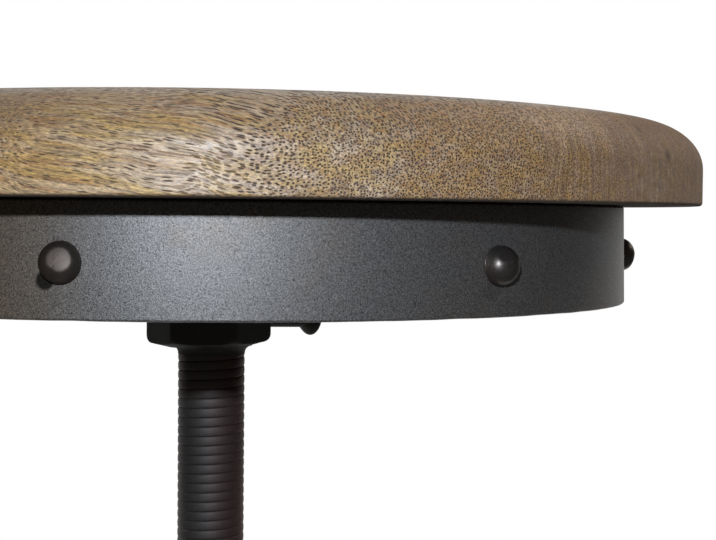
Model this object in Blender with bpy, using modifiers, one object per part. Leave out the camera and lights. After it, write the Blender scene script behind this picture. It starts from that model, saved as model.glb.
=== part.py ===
"""Industrial bar stool: a round wooden seat on a riveted steel band, carried by a screw spindle in a
hub with four bent strap legs and a foot ring.

Metres, +Z up. The origin is on the floor, on the spindle's axis. An azimuth is measured from the
front, -Y, towards +X. One turn of the seat raises it by THREAD_LEAD.
"""

import math

import bmesh
import bpy
from mathutils import Matrix, Vector

MM = 0.001

# Clearances: GAP between pieces that touch, RUNNING_FIT round the spindle and in the fastener holes
GAP = 0.3 * MM
RUNNING_FIT = 0.3 * MM

# Seat
SEAT_HEIGHT = 705 * MM
SEAT_DIAMETER = 360 * MM
SEAT_THICKNESS = 30 * MM
SEAT_EDGE_ROUND_IN = 22.2 * MM
SEAT_EDGE_ROUND_DOWN = 17.3 * MM
SEAT_LOWER_ROUND = 2 * MM

# Riveted band and the pressed pan inside it
BAND_DIAMETER = 305.5 * MM
BAND_HEIGHT = 34.6 * MM
BAND_THICKNESS = 3 * MM
BAND_EDGE = 0.6 * MM
PAN_THICKNESS = 3 * MM
PAN_RIM_DEPTH = 29 * MM
PAN_BEND_RADIUS = 2 * MM
BAND_RIVET_COUNT = 7
BAND_RIVET_FIRST_AZIMUTH = math.radians(-16.3)
BAND_RIVET_DROP = 18.8 * MM
BAND_RIVET_HEAD_DIAMETER = 12.4 * MM
BAND_RIVET_HEAD_HEIGHT = 6.2 * MM
BAND_RIVET_SHANK_DIAMETER = 6 * MM
BAND_RIVET_TAIL_DIAMETER = 9 * MM
BAND_RIVET_TAIL_HEIGHT = 2.4 * MM

# Flange under the pan, with the screws that hold pan and flange to the wood
FLANGE_DIAMETER = 110 * MM
FLANGE_THICKNESS = 6 * MM
FLANGE_EDGE = 1 * MM
FLANGE_SCREW_COUNT = 4
FLANGE_SCREW_INSET = 13 * MM
PAN_SCREW_COUNT = 6
PAN_SCREW_INSET = 28 * MM
SCREW_SHANK_DIAMETER = 5 * MM
SCREW_HEAD_DIAMETER = 10 * MM
SCREW_HEAD_HEIGHT = 3 * MM
SCREW_DEPTH_IN_WOOD = 16 * MM

# Hexagonal collar that holds the spindle, its weld bead and its set bolt
COLLAR_ACROSS_FLATS = 41 * MM
COLLAR_DROP = 52.5 * MM
COLLAR_FACE_DIAMETER = 30 * MM
COLLAR_CHAMFER = 2 * MM
COLLAR_TURN = math.radians(-5.2)
COLLAR_WELD_HEIGHT = 3.5 * MM
COLLAR_WELD_TOE = 0.4 * MM
SET_BOLT_FACE = 2
SET_BOLT_DROP = 42.8 * MM
SET_BOLT_SHANK_DIAMETER = 8 * MM
SET_BOLT_REACH = 18.5 * MM
SET_BOLT_HEAD_DIAMETER = 15.8 * MM
SET_BOLT_HEAD_THICKNESS = 7 * MM

# Spindle, with the loose washer and the bolt that stop it at the top of its travel
SPINDLE_DIAMETER = 25 * MM
SPINDLE_CHAMFER = 1.5 * MM
THREAD_LEAD = 3.5 * MM
THREAD_SHOWING = 85 * MM
TURNS_UP = 16
STOP_MARGIN = 1 * MM
STOP_WASHER_DIAMETER = 36 * MM
STOP_WASHER_THICKNESS = 4 * MM
END_BOLT_SHANK_DIAMETER = 10 * MM
END_BOLT_DEPTH = 20 * MM
END_BOLT_ACROSS_FLATS = 17 * MM
END_BOLT_HEAD_HEIGHT = 6.4 * MM

# Hub and the nut on it
HUB_WALL = 12.2 * MM
HUB_HEIGHT = 80 * MM
HUB_EDGE = 3 * MM
HUB_NUT_ACROSS_FLATS = 41 * MM
HUB_NUT_HEIGHT = 22 * MM
HUB_NUT_FACE_DIAMETER = 36 * MM
HUB_NUT_CHAMFER = 2 * MM

# Strap legs, from their top at the hub to the foot
LEG_COUNT = 4
LEG_FIRST_AZIMUTH = math.radians(45)
LEG_WIDTH = 38 * MM
LEG_THICKNESS = 6 * MM
LEG_CORNER_RADIUS = 8 * MM
LEG_TOP_INSET = 5 * MM
LEG_BEND_ABOVE_HUB_END = 6 * MM
SHOULDER_RADIUS = 45 * MM
SHOULDER_ANGLE = math.radians(62)
SHOULDER_RUN = 45 * MM
KNEE_RADIUS = 95 * MM
LEG_SLOPE = math.radians(9)
FOOT_RADIUS = 16 * MM
FOOT_LENGTH = 34 * MM
LEG_BOLT_END_DISTANCE = 13 * MM
LEG_BOLT_SPACING = 40 * MM
LEG_BOLT_SHANK_DIAMETER = 8 * MM
LEG_BOLT_WALL = 3.5 * MM
LEG_BOLT_HEAD_DIAMETER = 16 * MM
LEG_BOLT_HEAD_HEIGHT = 5.5 * MM

# Foot ring, riveted inside the legs
FOOT_RING_HEIGHT = 210 * MM
FOOT_RING_WIDTH = 32 * MM
FOOT_RING_THICKNESS = 6 * MM
FOOT_RING_EDGE = 1.5 * MM
RING_RIVET_HEAD_DIAMETER = 14 * MM
RING_RIVET_HEAD_HEIGHT = 6.5 * MM
RING_RIVET_SHANK_DIAMETER = 8 * MM
RING_RIVET_TAIL_DIAMETER = 12 * MM
RING_RIVET_TAIL_HEIGHT = 3 * MM

# Glides under the feet
GLIDE_DIAMETER = 30 * MM
GLIDE_HEIGHT = 8 * MM
GLIDE_EDGE = 1.5 * MM
GLIDE_STEM_DIAMETER = 8 * MM
GLIDE_STEM_IN_NUT = 5 * MM
GLIDE_NUT_DIAMETER = 15 * MM
GLIDE_NUT_HEIGHT = 8.5 * MM

# Facet counts
SEAT_STEPS = 56
RING_STEPS = 48
SPINDLE_STEPS = 32
NUT_STEPS = 24
FASTENER_STEPS = 10
HOLE_STEPS = 12
SCREW_STEPS = 8
GLIDE_STEPS = 16
SMOOTH_ANGLE = math.radians(35)

# Places that follow from the sizes above
WOOD_UNDERSIDE = SEAT_HEIGHT - SEAT_THICKNESS
BAND_OUTER = BAND_DIAMETER / 2
BAND_INNER = BAND_OUTER - BAND_THICKNESS
BAND_TOP = WOOD_UNDERSIDE - GAP
PAN_TOP = WOOD_UNDERSIDE - GAP
PAN_UNDERSIDE = PAN_TOP - PAN_THICKNESS
PAN_RIM_OUTER = BAND_INNER - GAP
PAN_RIM_INNER = PAN_RIM_OUTER - PAN_THICKNESS
FLANGE_TOP = PAN_UNDERSIDE - GAP
FLANGE_UNDERSIDE = FLANGE_TOP - FLANGE_THICKNESS
COLLAR_TOP = FLANGE_UNDERSIDE - GAP
COLLAR_BOTTOM = WOOD_UNDERSIDE - COLLAR_DROP
HUB_NUT_TOP = COLLAR_BOTTOM - THREAD_SHOWING
HUB_TOP = HUB_NUT_TOP - HUB_NUT_HEIGHT - GAP
HUB_BOTTOM = HUB_TOP - HUB_HEIGHT
HUB_HALF_WIDTH = SPINDLE_DIAMETER / 2 + RUNNING_FIT + HUB_WALL
SPINDLE_TOP = COLLAR_TOP - GAP
SPINDLE_BOTTOM = HUB_BOTTOM - TURNS_UP * THREAD_LEAD - STOP_MARGIN + GAP
LEG_AXIS_AT_HUB = HUB_HALF_WIDTH + GAP + LEG_THICKNESS / 2
LEG_TOP = HUB_TOP - LEG_TOP_INSET
FOOT_AXIS_HEIGHT = GLIDE_HEIGHT + GAP + LEG_THICKNESS / 2


def new_collection(name):
    """A collection linked to the scene."""
    collection = bpy.data.collections.new(name)
    bpy.context.scene.collection.children.link(collection)
    return collection


def new_material(name, color, roughness, metallic):
    """A Principled BSDF material with one colour."""
    material = bpy.data.materials.new(name)
    material.use_nodes = True
    shader = material.node_tree.nodes["Principled BSDF"]
    shader.inputs["Base Color"].default_value = (*color, 1)
    shader.inputs["Roughness"].default_value = roughness
    shader.inputs["Metallic"].default_value = metallic
    return material


def radial(azimuth):
    """The outward direction at an azimuth."""
    return Vector((math.sin(azimuth), -math.cos(azimuth), 0))


def around(count, first=0.0):
    """Azimuths of a ring of evenly spaced copies."""
    return [first + 2 * math.pi * index / count for index in range(count)]


def arc(center, radius_in, radius_up, start, end, steps):
    """Points of an elliptical arc in a profile's plane, its angles measured from the outward side."""
    angles = [start + (end - start) * index / steps for index in range(steps + 1)]
    return [(center[0] + radius_in * math.cos(a), center[1] + radius_up * math.sin(a)) for a in angles]


def placed(point, direction):
    """The matrix that carries local +Z onto a direction, with its origin at a point."""
    return Matrix.Translation(point) @ direction.to_track_quat("Z", "Y").to_matrix().to_4x4()


def linked(name, mesh, collection):
    """A new object for a mesh or a curve, in a collection."""
    obj = bpy.data.objects.new(name, mesh)
    collection.objects.link(obj)
    return obj


def evaluated_mesh(obj):
    """The object's shape with its modifiers, welded, as a new mesh."""
    graph = bpy.context.evaluated_depsgraph_get()
    mesh = bpy.data.meshes.new_from_object(obj.evaluated_get(graph))
    shape = bmesh.new()
    shape.from_mesh(mesh)
    bmesh.ops.remove_doubles(shape, verts=shape.verts, dist=MM / 1000)
    shape.to_mesh(mesh)
    shape.free()
    return mesh


def made_solid(obj):
    """Replaces an object by its evaluated mesh, smooth but for its sharp edges."""
    bpy.context.view_layer.update()
    name = obj.name
    collection = obj.users_collection[0]
    matrix = obj.matrix_world.copy()
    mesh = evaluated_mesh(obj)
    bpy.data.objects.remove(obj)
    mesh.shade_smooth()
    mesh.set_sharp_from_angle(angle=SMOOTH_ANGLE)
    solid = linked(name, mesh, collection)
    solid.matrix_world = matrix
    return solid


def turned(name, profile, steps, closed=False):
    """A solid of revolution about Z. The profile runs down its outer side, from axis to axis or closed."""
    count = len(profile)
    edges = [(index, index + 1) for index in range(count - 1)]
    if closed:
        edges.append((count - 1, 0))
    mesh = bpy.data.meshes.new(name)
    mesh.from_pydata([(radius, 0, height) for radius, height in profile], edges, [])
    obj = linked(name, mesh, PARTS)
    screw = obj.modifiers.new("Screw", "SCREW")
    screw.steps = steps
    screw.render_steps = steps
    screw.use_merge_vertices = True
    screw.merge_threshold = MM / 100
    return made_solid(obj)


def prism(name, sides, across_flats, height, collection):
    """An upright prism from z = 0, with a flat towards -Y."""
    shape = bmesh.new()
    radius = across_flats / 2 / math.cos(math.pi / sides)
    bmesh.ops.create_cone(
        shape, cap_ends=True, segments=sides, radius1=radius, radius2=radius, depth=height
    )
    bmesh.ops.rotate(shape, verts=shape.verts, matrix=Matrix.Rotation(math.pi / sides, 3, "Z"))
    bmesh.ops.translate(shape, verts=shape.verts, vec=(0, 0, height / 2))
    mesh = bpy.data.meshes.new(name)
    shape.to_mesh(mesh)
    shape.free()
    return linked(name, mesh, collection)


def hole_cutter(name, holes, steps=HOLE_STEPS):
    """One cutter with a cylinder for each (start, direction, length, diameter)."""
    shape = bmesh.new()
    for start, direction, length, diameter in holes:
        middle = Vector(start) + direction * length / 2
        bmesh.ops.create_cone(
            shape,
            cap_ends=True,
            segments=steps,
            radius1=diameter / 2,
            radius2=diameter / 2,
            depth=length,
            matrix=placed(middle, direction),
        )
    mesh = bpy.data.meshes.new(name)
    shape.to_mesh(mesh)
    shape.free()
    return as_cutter(linked(name, mesh, CUTTERS))


def as_cutter(obj):
    """Marks an object as a helper that only shapes others."""
    for collection in list(obj.users_collection):
        collection.objects.unlink(obj)
    CUTTERS.objects.link(obj)
    obj.hide_render = True
    obj.display_type = "WIRE"
    return obj


def shaped(obj, operation, *others):
    """Applies a Boolean with each of the other objects."""
    for other in others:
        modifier = obj.modifiers.new(other.name, "BOOLEAN")
        modifier.operation = operation
        modifier.solver = "EXACT"
        modifier.object = other
    return made_solid(obj)


def dome_fastener(name, head, shank_diameter, grip, tail, steps=FASTENER_STEPS):
    """A rivet or bolt along Z. Its domed head stands on z = 0 and its shank goes down to -grip.

    head and tail are (diameter, height) pairs; a bolt has no tail.
    """
    quarter = math.pi / 2
    profile = arc((0, 0), head[0] / 2, head[1], quarter, 0, 4)
    profile += [(shank_diameter / 2, 0), (shank_diameter / 2, -grip)]
    if tail:
        profile += arc((0, -grip), tail[0] / 2, tail[1], 0, -quarter, 3)
    else:
        profile.append((0, -grip))
    profile[0] = (0, profile[0][1])
    profile[-1] = (0, profile[-1][1])
    return turned(name, profile, steps)


def tail_relief(tail_diameter, steps):
    """How far a faceted ring's inner face comes in over the half width of a rivet's tail."""
    return tail_diameter / 2 * math.tan(math.pi / steps)


def build_seat_top():
    """The wooden disc, with a full rounded upper edge."""
    radius = SEAT_DIAMETER / 2
    edge = (radius - SEAT_EDGE_ROUND_IN, SEAT_THICKNESS - SEAT_EDGE_ROUND_DOWN)
    lower = (radius - SEAT_LOWER_ROUND, SEAT_LOWER_ROUND)
    profile = [(0, SEAT_THICKNESS)]
    profile += arc(edge, SEAT_EDGE_ROUND_IN, SEAT_EDGE_ROUND_DOWN, math.pi / 2, 0, 6)
    profile += arc(lower, SEAT_LOWER_ROUND, SEAT_LOWER_ROUND, 0, -math.pi / 2, 2)
    profile.append((0, 0))
    top = turned("seat_top", profile, SEAT_STEPS)
    top.location.z = WOOD_UNDERSIDE
    return shaped(top, "DIFFERENCE", SCREW_HOLES)


def build_seat_band():
    """The rolled flat band under the wood, with its rivet holes."""
    low = BAND_TOP - BAND_HEIGHT
    profile = [
        (BAND_OUTER, BAND_TOP),
        (BAND_OUTER, low + BAND_EDGE),
        (BAND_OUTER - BAND_EDGE, low),
        (BAND_INNER + BAND_EDGE, low),
        (BAND_INNER, low + BAND_EDGE),
        (BAND_INNER, BAND_TOP),
    ]
    band = turned("seat_band", profile, SEAT_STEPS, closed=True)
    band.rotation_euler.z = BAND_RIVET_FIRST_AZIMUTH
    return shaped(band, "DIFFERENCE", BAND_RIVET_HOLES)


def build_seat_pan():
    """The pressed pan: a flat plate under the wood with a rim turned down inside the band."""
    outer_bend = PAN_BEND_RADIUS + PAN_THICKNESS
    low = PAN_TOP - PAN_RIM_DEPTH
    profile = [(0, PAN_TOP)]
    profile += arc(
        (PAN_RIM_OUTER - outer_bend, PAN_TOP - outer_bend), outer_bend, outer_bend, math.pi / 2, 0, 2
    )
    profile += [(PAN_RIM_OUTER, low), (PAN_RIM_INNER, low)]
    profile += arc(
        (PAN_RIM_INNER - PAN_BEND_RADIUS, PAN_UNDERSIDE - PAN_BEND_RADIUS),
        PAN_BEND_RADIUS,
        PAN_BEND_RADIUS,
        0,
        math.pi / 2,
        1,
    )
    profile.append((0, PAN_UNDERSIDE))
    pan = turned("seat_pan", profile, SEAT_STEPS)
    pan.rotation_euler.z = BAND_RIVET_FIRST_AZIMUTH
    return shaped(pan, "DIFFERENCE", BAND_RIVET_HOLES, SCREW_HOLES)


def build_band_rivets():
    """The domed rivets through the band and the pan's rim."""
    grip = BAND_OUTER - PAN_RIM_INNER + 2 * GAP + tail_relief(BAND_RIVET_TAIL_DIAMETER, SEAT_STEPS)
    rivets = []
    for index, azimuth in enumerate(around(BAND_RIVET_COUNT, BAND_RIVET_FIRST_AZIMUTH)):
        rivet = dome_fastener(
            f"band_rivet_{index + 1}",
            (BAND_RIVET_HEAD_DIAMETER, BAND_RIVET_HEAD_HEIGHT),
            BAND_RIVET_SHANK_DIAMETER,
            grip,
            (BAND_RIVET_TAIL_DIAMETER, BAND_RIVET_TAIL_HEIGHT),
        )
        seat = radial(azimuth) * (BAND_OUTER + GAP)
        seat.z = WOOD_UNDERSIDE - BAND_RIVET_DROP
        rivet.matrix_world = placed(seat, radial(azimuth))
        rivets.append(rivet)
    return rivets


def build_seat_flange():
    """The round plate that spreads the collar's load over the pan."""
    radius = FLANGE_DIAMETER / 2
    profile = [
        (0, FLANGE_TOP),
        (radius - FLANGE_EDGE, FLANGE_TOP),
        (radius, FLANGE_TOP - FLANGE_EDGE),
        (radius, FLANGE_UNDERSIDE + FLANGE_EDGE),
        (radius - FLANGE_EDGE, FLANGE_UNDERSIDE),
        (0, FLANGE_UNDERSIDE),
    ]
    flange = turned("seat_flange", profile, SPINDLE_STEPS)
    return shaped(flange, "DIFFERENCE", SCREW_HOLES)


def seat_screw_places():
    """(name, place, underside of the head) of each screw into the wood."""
    places = []
    flange_circle = FLANGE_DIAMETER / 2 - FLANGE_SCREW_INSET
    for index, azimuth in enumerate(around(FLANGE_SCREW_COUNT)):
        places.append((f"flange_screw_{index + 1}", radial(azimuth) * flange_circle, FLANGE_UNDERSIDE))
    pan_circle = PAN_RIM_INNER - PAN_SCREW_INSET
    for index, azimuth in enumerate(around(PAN_SCREW_COUNT)):
        places.append((f"pan_screw_{index + 1}", radial(azimuth) * pan_circle, PAN_UNDERSIDE))
    return places


def build_seat_screws():
    """The round-headed screws that hold the flange and the pan up against the wood."""
    screws = []
    for name, place, underside in seat_screw_places():
        seat = underside - GAP
        grip = WOOD_UNDERSIDE + SCREW_DEPTH_IN_WOOD - seat
        head = (SCREW_HEAD_DIAMETER, SCREW_HEAD_HEIGHT)
        screw = dome_fastener(name, head, SCREW_SHANK_DIAMETER, grip, None, SCREW_STEPS)
        screw.matrix_world = placed(place + Vector((0, 0, seat)), Vector((0, 0, -1)))
        screws.append(screw)
    return screws


def hexagon_nut(name, across_flats, height, face_diameter, chamfer):
    """A hexagon from z = 0, with its corners chamfered at the upper end."""
    corner = across_flats / math.cos(math.pi / 6) / 2
    over = corner + GAP
    rise = chamfer * (over - face_diameter / 2) / (corner - face_diameter / 2)
    barrel_profile = [
        (0, height),
        (face_diameter / 2, height),
        (over, height - rise),
        (over, -GAP),
        (0, -GAP),
    ]
    barrel = as_cutter(turned(name + "_barrel", barrel_profile, NUT_STEPS))
    nut = prism(name, 6, across_flats, height + GAP, PARTS)
    return shaped(nut, "INTERSECT", barrel)


def build_seat_collar():
    """The long hexagonal collar, its chamfered end down, bored for the spindle and its set bolt."""
    height = COLLAR_TOP - COLLAR_BOTTOM
    collar = hexagon_nut(
        "seat_collar", COLLAR_ACROSS_FLATS, height, COLLAR_FACE_DIAMETER, COLLAR_CHAMFER
    )
    turn = Matrix.Rotation(COLLAR_TURN, 4, "Z")
    collar.matrix_world = Matrix.Translation((0, 0, COLLAR_TOP)) @ turn @ Matrix.Rotation(math.pi, 4, "X")
    return shaped(collar, "DIFFERENCE", SPINDLE_BORE, SET_BOLT_HOLE)


def build_collar_weld():
    """The hollow weld bead round the spindle under the collar."""
    inner = SPINDLE_DIAMETER / 2 + RUNNING_FIT
    outer = COLLAR_FACE_DIAMETER / 2
    top = COLLAR_BOTTOM - GAP
    low = top - COLLAR_WELD_HEIGHT
    width = outer - inner - COLLAR_WELD_TOE
    profile = arc((outer, low), width, COLLAR_WELD_HEIGHT, math.pi / 2, math.pi, 3)
    profile += [(inner, low), (inner, top)]
    return turned("collar_weld", profile, SPINDLE_STEPS, closed=True)


def set_bolt_direction():
    """The outward direction of the collar face that takes the set bolt."""
    return radial(COLLAR_TURN + SET_BOLT_FACE * math.pi / 3)


def build_collar_set_bolt():
    """The bolt that locks the spindle in the collar, with a round-edged head for the fingers."""
    head_start = COLLAR_ACROSS_FLATS / 2 + SET_BOLT_REACH
    tip = SPINDLE_DIAMETER / 2 + RUNNING_FIT
    head_radius = SET_BOLT_HEAD_DIAMETER / 2
    edge = SET_BOLT_HEAD_THICKNESS / 2
    shank = SET_BOLT_SHANK_DIAMETER / 2
    end = head_start + SET_BOLT_HEAD_THICKNESS
    profile = [(0, end)]
    profile += arc((head_radius - edge, end - edge), edge, edge, math.pi / 2, -math.pi / 2, 6)
    profile += [(shank, head_start), (shank, tip), (0, tip)]
    bolt = turned("collar_set_bolt", profile, FASTENER_STEPS)
    bolt.matrix_world = placed(Vector((0, 0, WOOD_UNDERSIDE - SET_BOLT_DROP)), set_bolt_direction())
    return bolt


def build_spindle():
    """The spindle's rod, with a blind hole for its end bolt."""
    radius = SPINDLE_DIAMETER / 2
    profile = [
        (0, SPINDLE_TOP),
        (radius - SPINDLE_CHAMFER, SPINDLE_TOP),
        (radius, SPINDLE_TOP - SPINDLE_CHAMFER),
        (radius, SPINDLE_BOTTOM + SPINDLE_CHAMFER),
        (radius - SPINDLE_CHAMFER, SPINDLE_BOTTOM),
        (0, SPINDLE_BOTTOM),
    ]
    spindle = turned("spindle", profile, SPINDLE_STEPS)
    hole = hole_cutter(
        "end_bolt_hole",
        [
            (
                (0, 0, SPINDLE_BOTTOM - STOP_WASHER_THICKNESS),
                Vector((0, 0, 1)),
                STOP_WASHER_THICKNESS + END_BOLT_DEPTH + GAP,
                END_BOLT_SHANK_DIAMETER + 2 * RUNNING_FIT,
            )
        ],
    )
    return shaped(spindle, "DIFFERENCE", hole)


def build_stop_washer():
    """The loose washer at the spindle's lower end, wider than the hub's bore."""
    outer = STOP_WASHER_DIAMETER / 2
    inner = END_BOLT_SHANK_DIAMETER / 2 + RUNNING_FIT
    top = SPINDLE_BOTTOM - GAP
    low = top - STOP_WASHER_THICKNESS
    return turned(
        "stop_washer", [(outer, top), (outer, low), (inner, low), (inner, top)], SPINDLE_STEPS, closed=True
    )


def build_spindle_end_bolt():
    """The hexagon bolt that carries the stop washer, screwed up into the spindle."""
    head_top = SPINDLE_BOTTOM - 2 * GAP - STOP_WASHER_THICKNESS
    bolt = prism("spindle_end_bolt", 6, END_BOLT_ACROSS_FLATS, END_BOLT_HEAD_HEIGHT, PARTS)
    bolt.location.z = head_top - END_BOLT_HEAD_HEIGHT
    shank_start = head_top - END_BOLT_HEAD_HEIGHT / 2
    shank_length = SPINDLE_BOTTOM + END_BOLT_DEPTH - shank_start
    shank = hole_cutter(
        "end_bolt_shank", [((0, 0, shank_start), Vector((0, 0, 1)), shank_length, END_BOLT_SHANK_DIAMETER)]
    )
    return shaped(bolt, "UNION", shank)


def build_hub():
    """The square hub block that the legs are bolted to."""
    hub = prism("hub", 4, 2 * HUB_HALF_WIDTH, HUB_HEIGHT, PARTS)
    hub.location.z = HUB_BOTTOM
    hub.rotation_euler.z = LEG_FIRST_AZIMUTH
    bevel = hub.modifiers.new("Bevel", "BEVEL")
    bevel.width = HUB_EDGE
    bevel.segments = 1
    return shaped(hub, "DIFFERENCE", SPINDLE_BORE, LEG_BOLT_HOLES)


def build_hub_nut():
    """The hexagon nut on the hub that the spindle turns in."""
    nut = hexagon_nut(
        "hub_nut", HUB_NUT_ACROSS_FLATS, HUB_NUT_HEIGHT, HUB_NUT_FACE_DIAMETER, HUB_NUT_CHAMFER
    )
    nut.location.z = HUB_TOP + GAP
    return shaped(nut, "DIFFERENCE", SPINDLE_BORE)


def leg_bend(start, slope_before, slope_after, radius, steps):
    """Points of a bend that turns a strap's slope, measured outwards from straight down."""
    points = []
    for index in range(steps + 1):
        slope = slope_before + (slope_after - slope_before) * index / steps
        side = math.copysign(1, slope_after - slope_before)
        points.append(
            (
                start[0] + side * radius * (math.cos(slope_before) - math.cos(slope)),
                start[1] - side * radius * (math.sin(slope) - math.sin(slope_before)),
            )
        )
    return points


def run_on(start, slope, length):
    """The point a straight run ahead."""
    return (start[0] + length * math.sin(slope), start[1] - length * math.cos(slope))


def leg_path():
    """The middle line of a leg as (radius, height), from the hub down to the tip of the foot."""
    top = (LEG_AXIS_AT_HUB, LEG_TOP)
    shoulder = leg_bend(
        (LEG_AXIS_AT_HUB, HUB_BOTTOM + LEG_BEND_ABOVE_HUB_END), 0, SHOULDER_ANGLE, SHOULDER_RADIUS, 6
    )
    knee_start = run_on(shoulder[-1], SHOULDER_ANGLE, SHOULDER_RUN)
    knee = leg_bend(knee_start, SHOULDER_ANGLE, LEG_SLOPE, KNEE_RADIUS, 8)
    foot_drop = FOOT_RADIUS * (1 - math.sin(LEG_SLOPE))
    shin = (knee[-1][1] - FOOT_AXIS_HEIGHT - foot_drop) / math.cos(LEG_SLOPE)
    foot = leg_bend(run_on(knee[-1], LEG_SLOPE, shin), LEG_SLOPE, math.pi / 2, FOOT_RADIUS, 5)
    return [top, *shoulder, *knee, *foot, run_on(foot[-1], math.pi / 2, FOOT_LENGTH)]


def shin_radius(height):
    """The radius of a leg's middle line at a height on its straight shin."""
    foot_bend_end = leg_path()[-2]
    foot_bend_start_radius = foot_bend_end[0] - FOOT_RADIUS * math.cos(LEG_SLOPE)
    foot_bend_start_height = foot_bend_end[1] + FOOT_RADIUS * (1 - math.sin(LEG_SLOPE))
    return foot_bend_start_radius - (height - foot_bend_start_height) * math.tan(LEG_SLOPE)


def glide_radius():
    """How far from the axis a glide stands: at the middle of the foot."""
    return leg_path()[-1][0] - FOOT_LENGTH / 2


def shin_normal(azimuth):
    """The outward direction square to a leg's shin."""
    return radial(azimuth) * math.cos(LEG_SLOPE) + Vector((0, 0, math.sin(LEG_SLOPE)))


def build_legs():
    """The strap legs: a ribbon along the bent path, its ends rounded, thickened and drilled."""
    legs = []
    for index, azimuth in enumerate(around(LEG_COUNT, LEG_FIRST_AZIMUTH)):
        name = f"leg_{index + 1}"
        path = leg_path()
        curve = bpy.data.curves.new(name, "CURVE")
        curve.dimensions = "2D"
        curve.fill_mode = "NONE"
        curve.extrude = LEG_WIDTH / 2
        spline = curve.splines.new("POLY")
        spline.points.add(len(path) - 1)
        for point, (radius, height) in zip(spline.points, path):
            point.co = (radius, height, 0, 1)
        ribbon = linked(name, curve, PARTS)
        upright = Matrix.Rotation(math.pi / 2, 4, "X")
        ribbon.matrix_world = Matrix.Rotation(azimuth - math.pi / 2, 4, "Z") @ upright
        leg = made_solid(ribbon)
        shape = bmesh.new()
        shape.from_mesh(leg.data)
        corners = [vert for vert in shape.verts if len(vert.link_edges) == 2]
        bmesh.ops.bevel(
            shape, geom=corners, offset=LEG_CORNER_RADIUS, segments=4, profile=0.5, affect="VERTICES"
        )
        shape.to_mesh(leg.data)
        shape.free()
        solidify = leg.modifiers.new("Solidify", "SOLIDIFY")
        solidify.thickness = LEG_THICKNESS
        solidify.offset = 0
        solidify.use_even_offset = True
        legs.append(shaped(leg, "DIFFERENCE", LEG_BOLT_HOLES, RING_RIVET_HOLES, GLIDE_HOLES))
    return legs


def leg_bolt_places():
    """(azimuth, height) of each bolt that holds a leg to the hub."""
    upper = LEG_TOP - LEG_BOLT_END_DISTANCE
    heights = (upper, upper - LEG_BOLT_SPACING)
    return [(azimuth, height) for azimuth in around(LEG_COUNT, LEG_FIRST_AZIMUTH) for height in heights]


def leg_bolt_length():
    """From under a leg bolt's head to its tip, which leaves some wall before the bore."""
    return LEG_THICKNESS + 2 * GAP + HUB_WALL - LEG_BOLT_WALL


def build_leg_bolts():
    """The domed bolts through the legs into the hub."""
    bolts = []
    for index, (azimuth, height) in enumerate(leg_bolt_places()):
        bolt = dome_fastener(
            f"leg_bolt_{index + 1}",
            (LEG_BOLT_HEAD_DIAMETER, LEG_BOLT_HEAD_HEIGHT),
            LEG_BOLT_SHANK_DIAMETER,
            leg_bolt_length(),
            None,
        )
        seat = radial(azimuth) * (HUB_HALF_WIDTH + LEG_THICKNESS + 2 * GAP)
        seat.z = height
        bolt.matrix_world = placed(seat, radial(azimuth))
        bolts.append(bolt)
    return bolts


def build_foot_ring():
    """The flat foot ring, coned to lie along the inside of the sloping legs."""
    along = Vector((math.sin(LEG_SLOPE), -math.cos(LEG_SLOPE)))
    outward = Vector((math.cos(LEG_SLOPE), math.sin(LEG_SLOPE)))
    depth = LEG_THICKNESS / 2 + GAP + FOOT_RING_THICKNESS / 2
    middle = Vector((shin_radius(FOOT_RING_HEIGHT), FOOT_RING_HEIGHT)) - outward * depth
    half_width = FOOT_RING_WIDTH / 2
    half_thickness = FOOT_RING_THICKNESS / 2
    near_end = half_width - FOOT_RING_EDGE
    near_face = half_thickness - FOOT_RING_EDGE
    section = [
        (-near_end, half_thickness),
        (near_end, half_thickness),
        (half_width, near_face),
        (half_width, -near_face),
        (near_end, -half_thickness),
        (-near_end, -half_thickness),
        (-half_width, -near_face),
        (-half_width, near_face),
    ]
    profile = [tuple(middle + along * down + outward * out) for down, out in section]
    ring = turned("foot_ring", profile, RING_STEPS, closed=True)
    ring.rotation_euler.z = LEG_FIRST_AZIMUTH
    return shaped(ring, "DIFFERENCE", RING_RIVET_HOLES)


def ring_rivet_seat(azimuth):
    """The point on a leg's outer face where a foot ring rivet's head stands."""
    point = radial(azimuth) * shin_radius(FOOT_RING_HEIGHT)
    point.z = FOOT_RING_HEIGHT
    return point + shin_normal(azimuth) * (LEG_THICKNESS / 2 + GAP)


def ring_rivet_grip():
    """From under a foot ring rivet's head to its tail."""
    relief = tail_relief(RING_RIVET_TAIL_DIAMETER, RING_STEPS)
    return LEG_THICKNESS + FOOT_RING_THICKNESS + 3 * GAP + relief


def build_ring_rivets():
    """The domed rivets that hold the foot ring to the legs."""
    rivets = []
    for index, azimuth in enumerate(around(LEG_COUNT, LEG_FIRST_AZIMUTH)):
        rivet = dome_fastener(
            f"ring_rivet_{index + 1}",
            (RING_RIVET_HEAD_DIAMETER, RING_RIVET_HEAD_HEIGHT),
            RING_RIVET_SHANK_DIAMETER,
            ring_rivet_grip(),
            (RING_RIVET_TAIL_DIAMETER, RING_RIVET_TAIL_HEIGHT),
        )
        rivet.matrix_world = placed(ring_rivet_seat(azimuth), shin_normal(azimuth))
        rivets.append(rivet)
    return rivets


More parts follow.
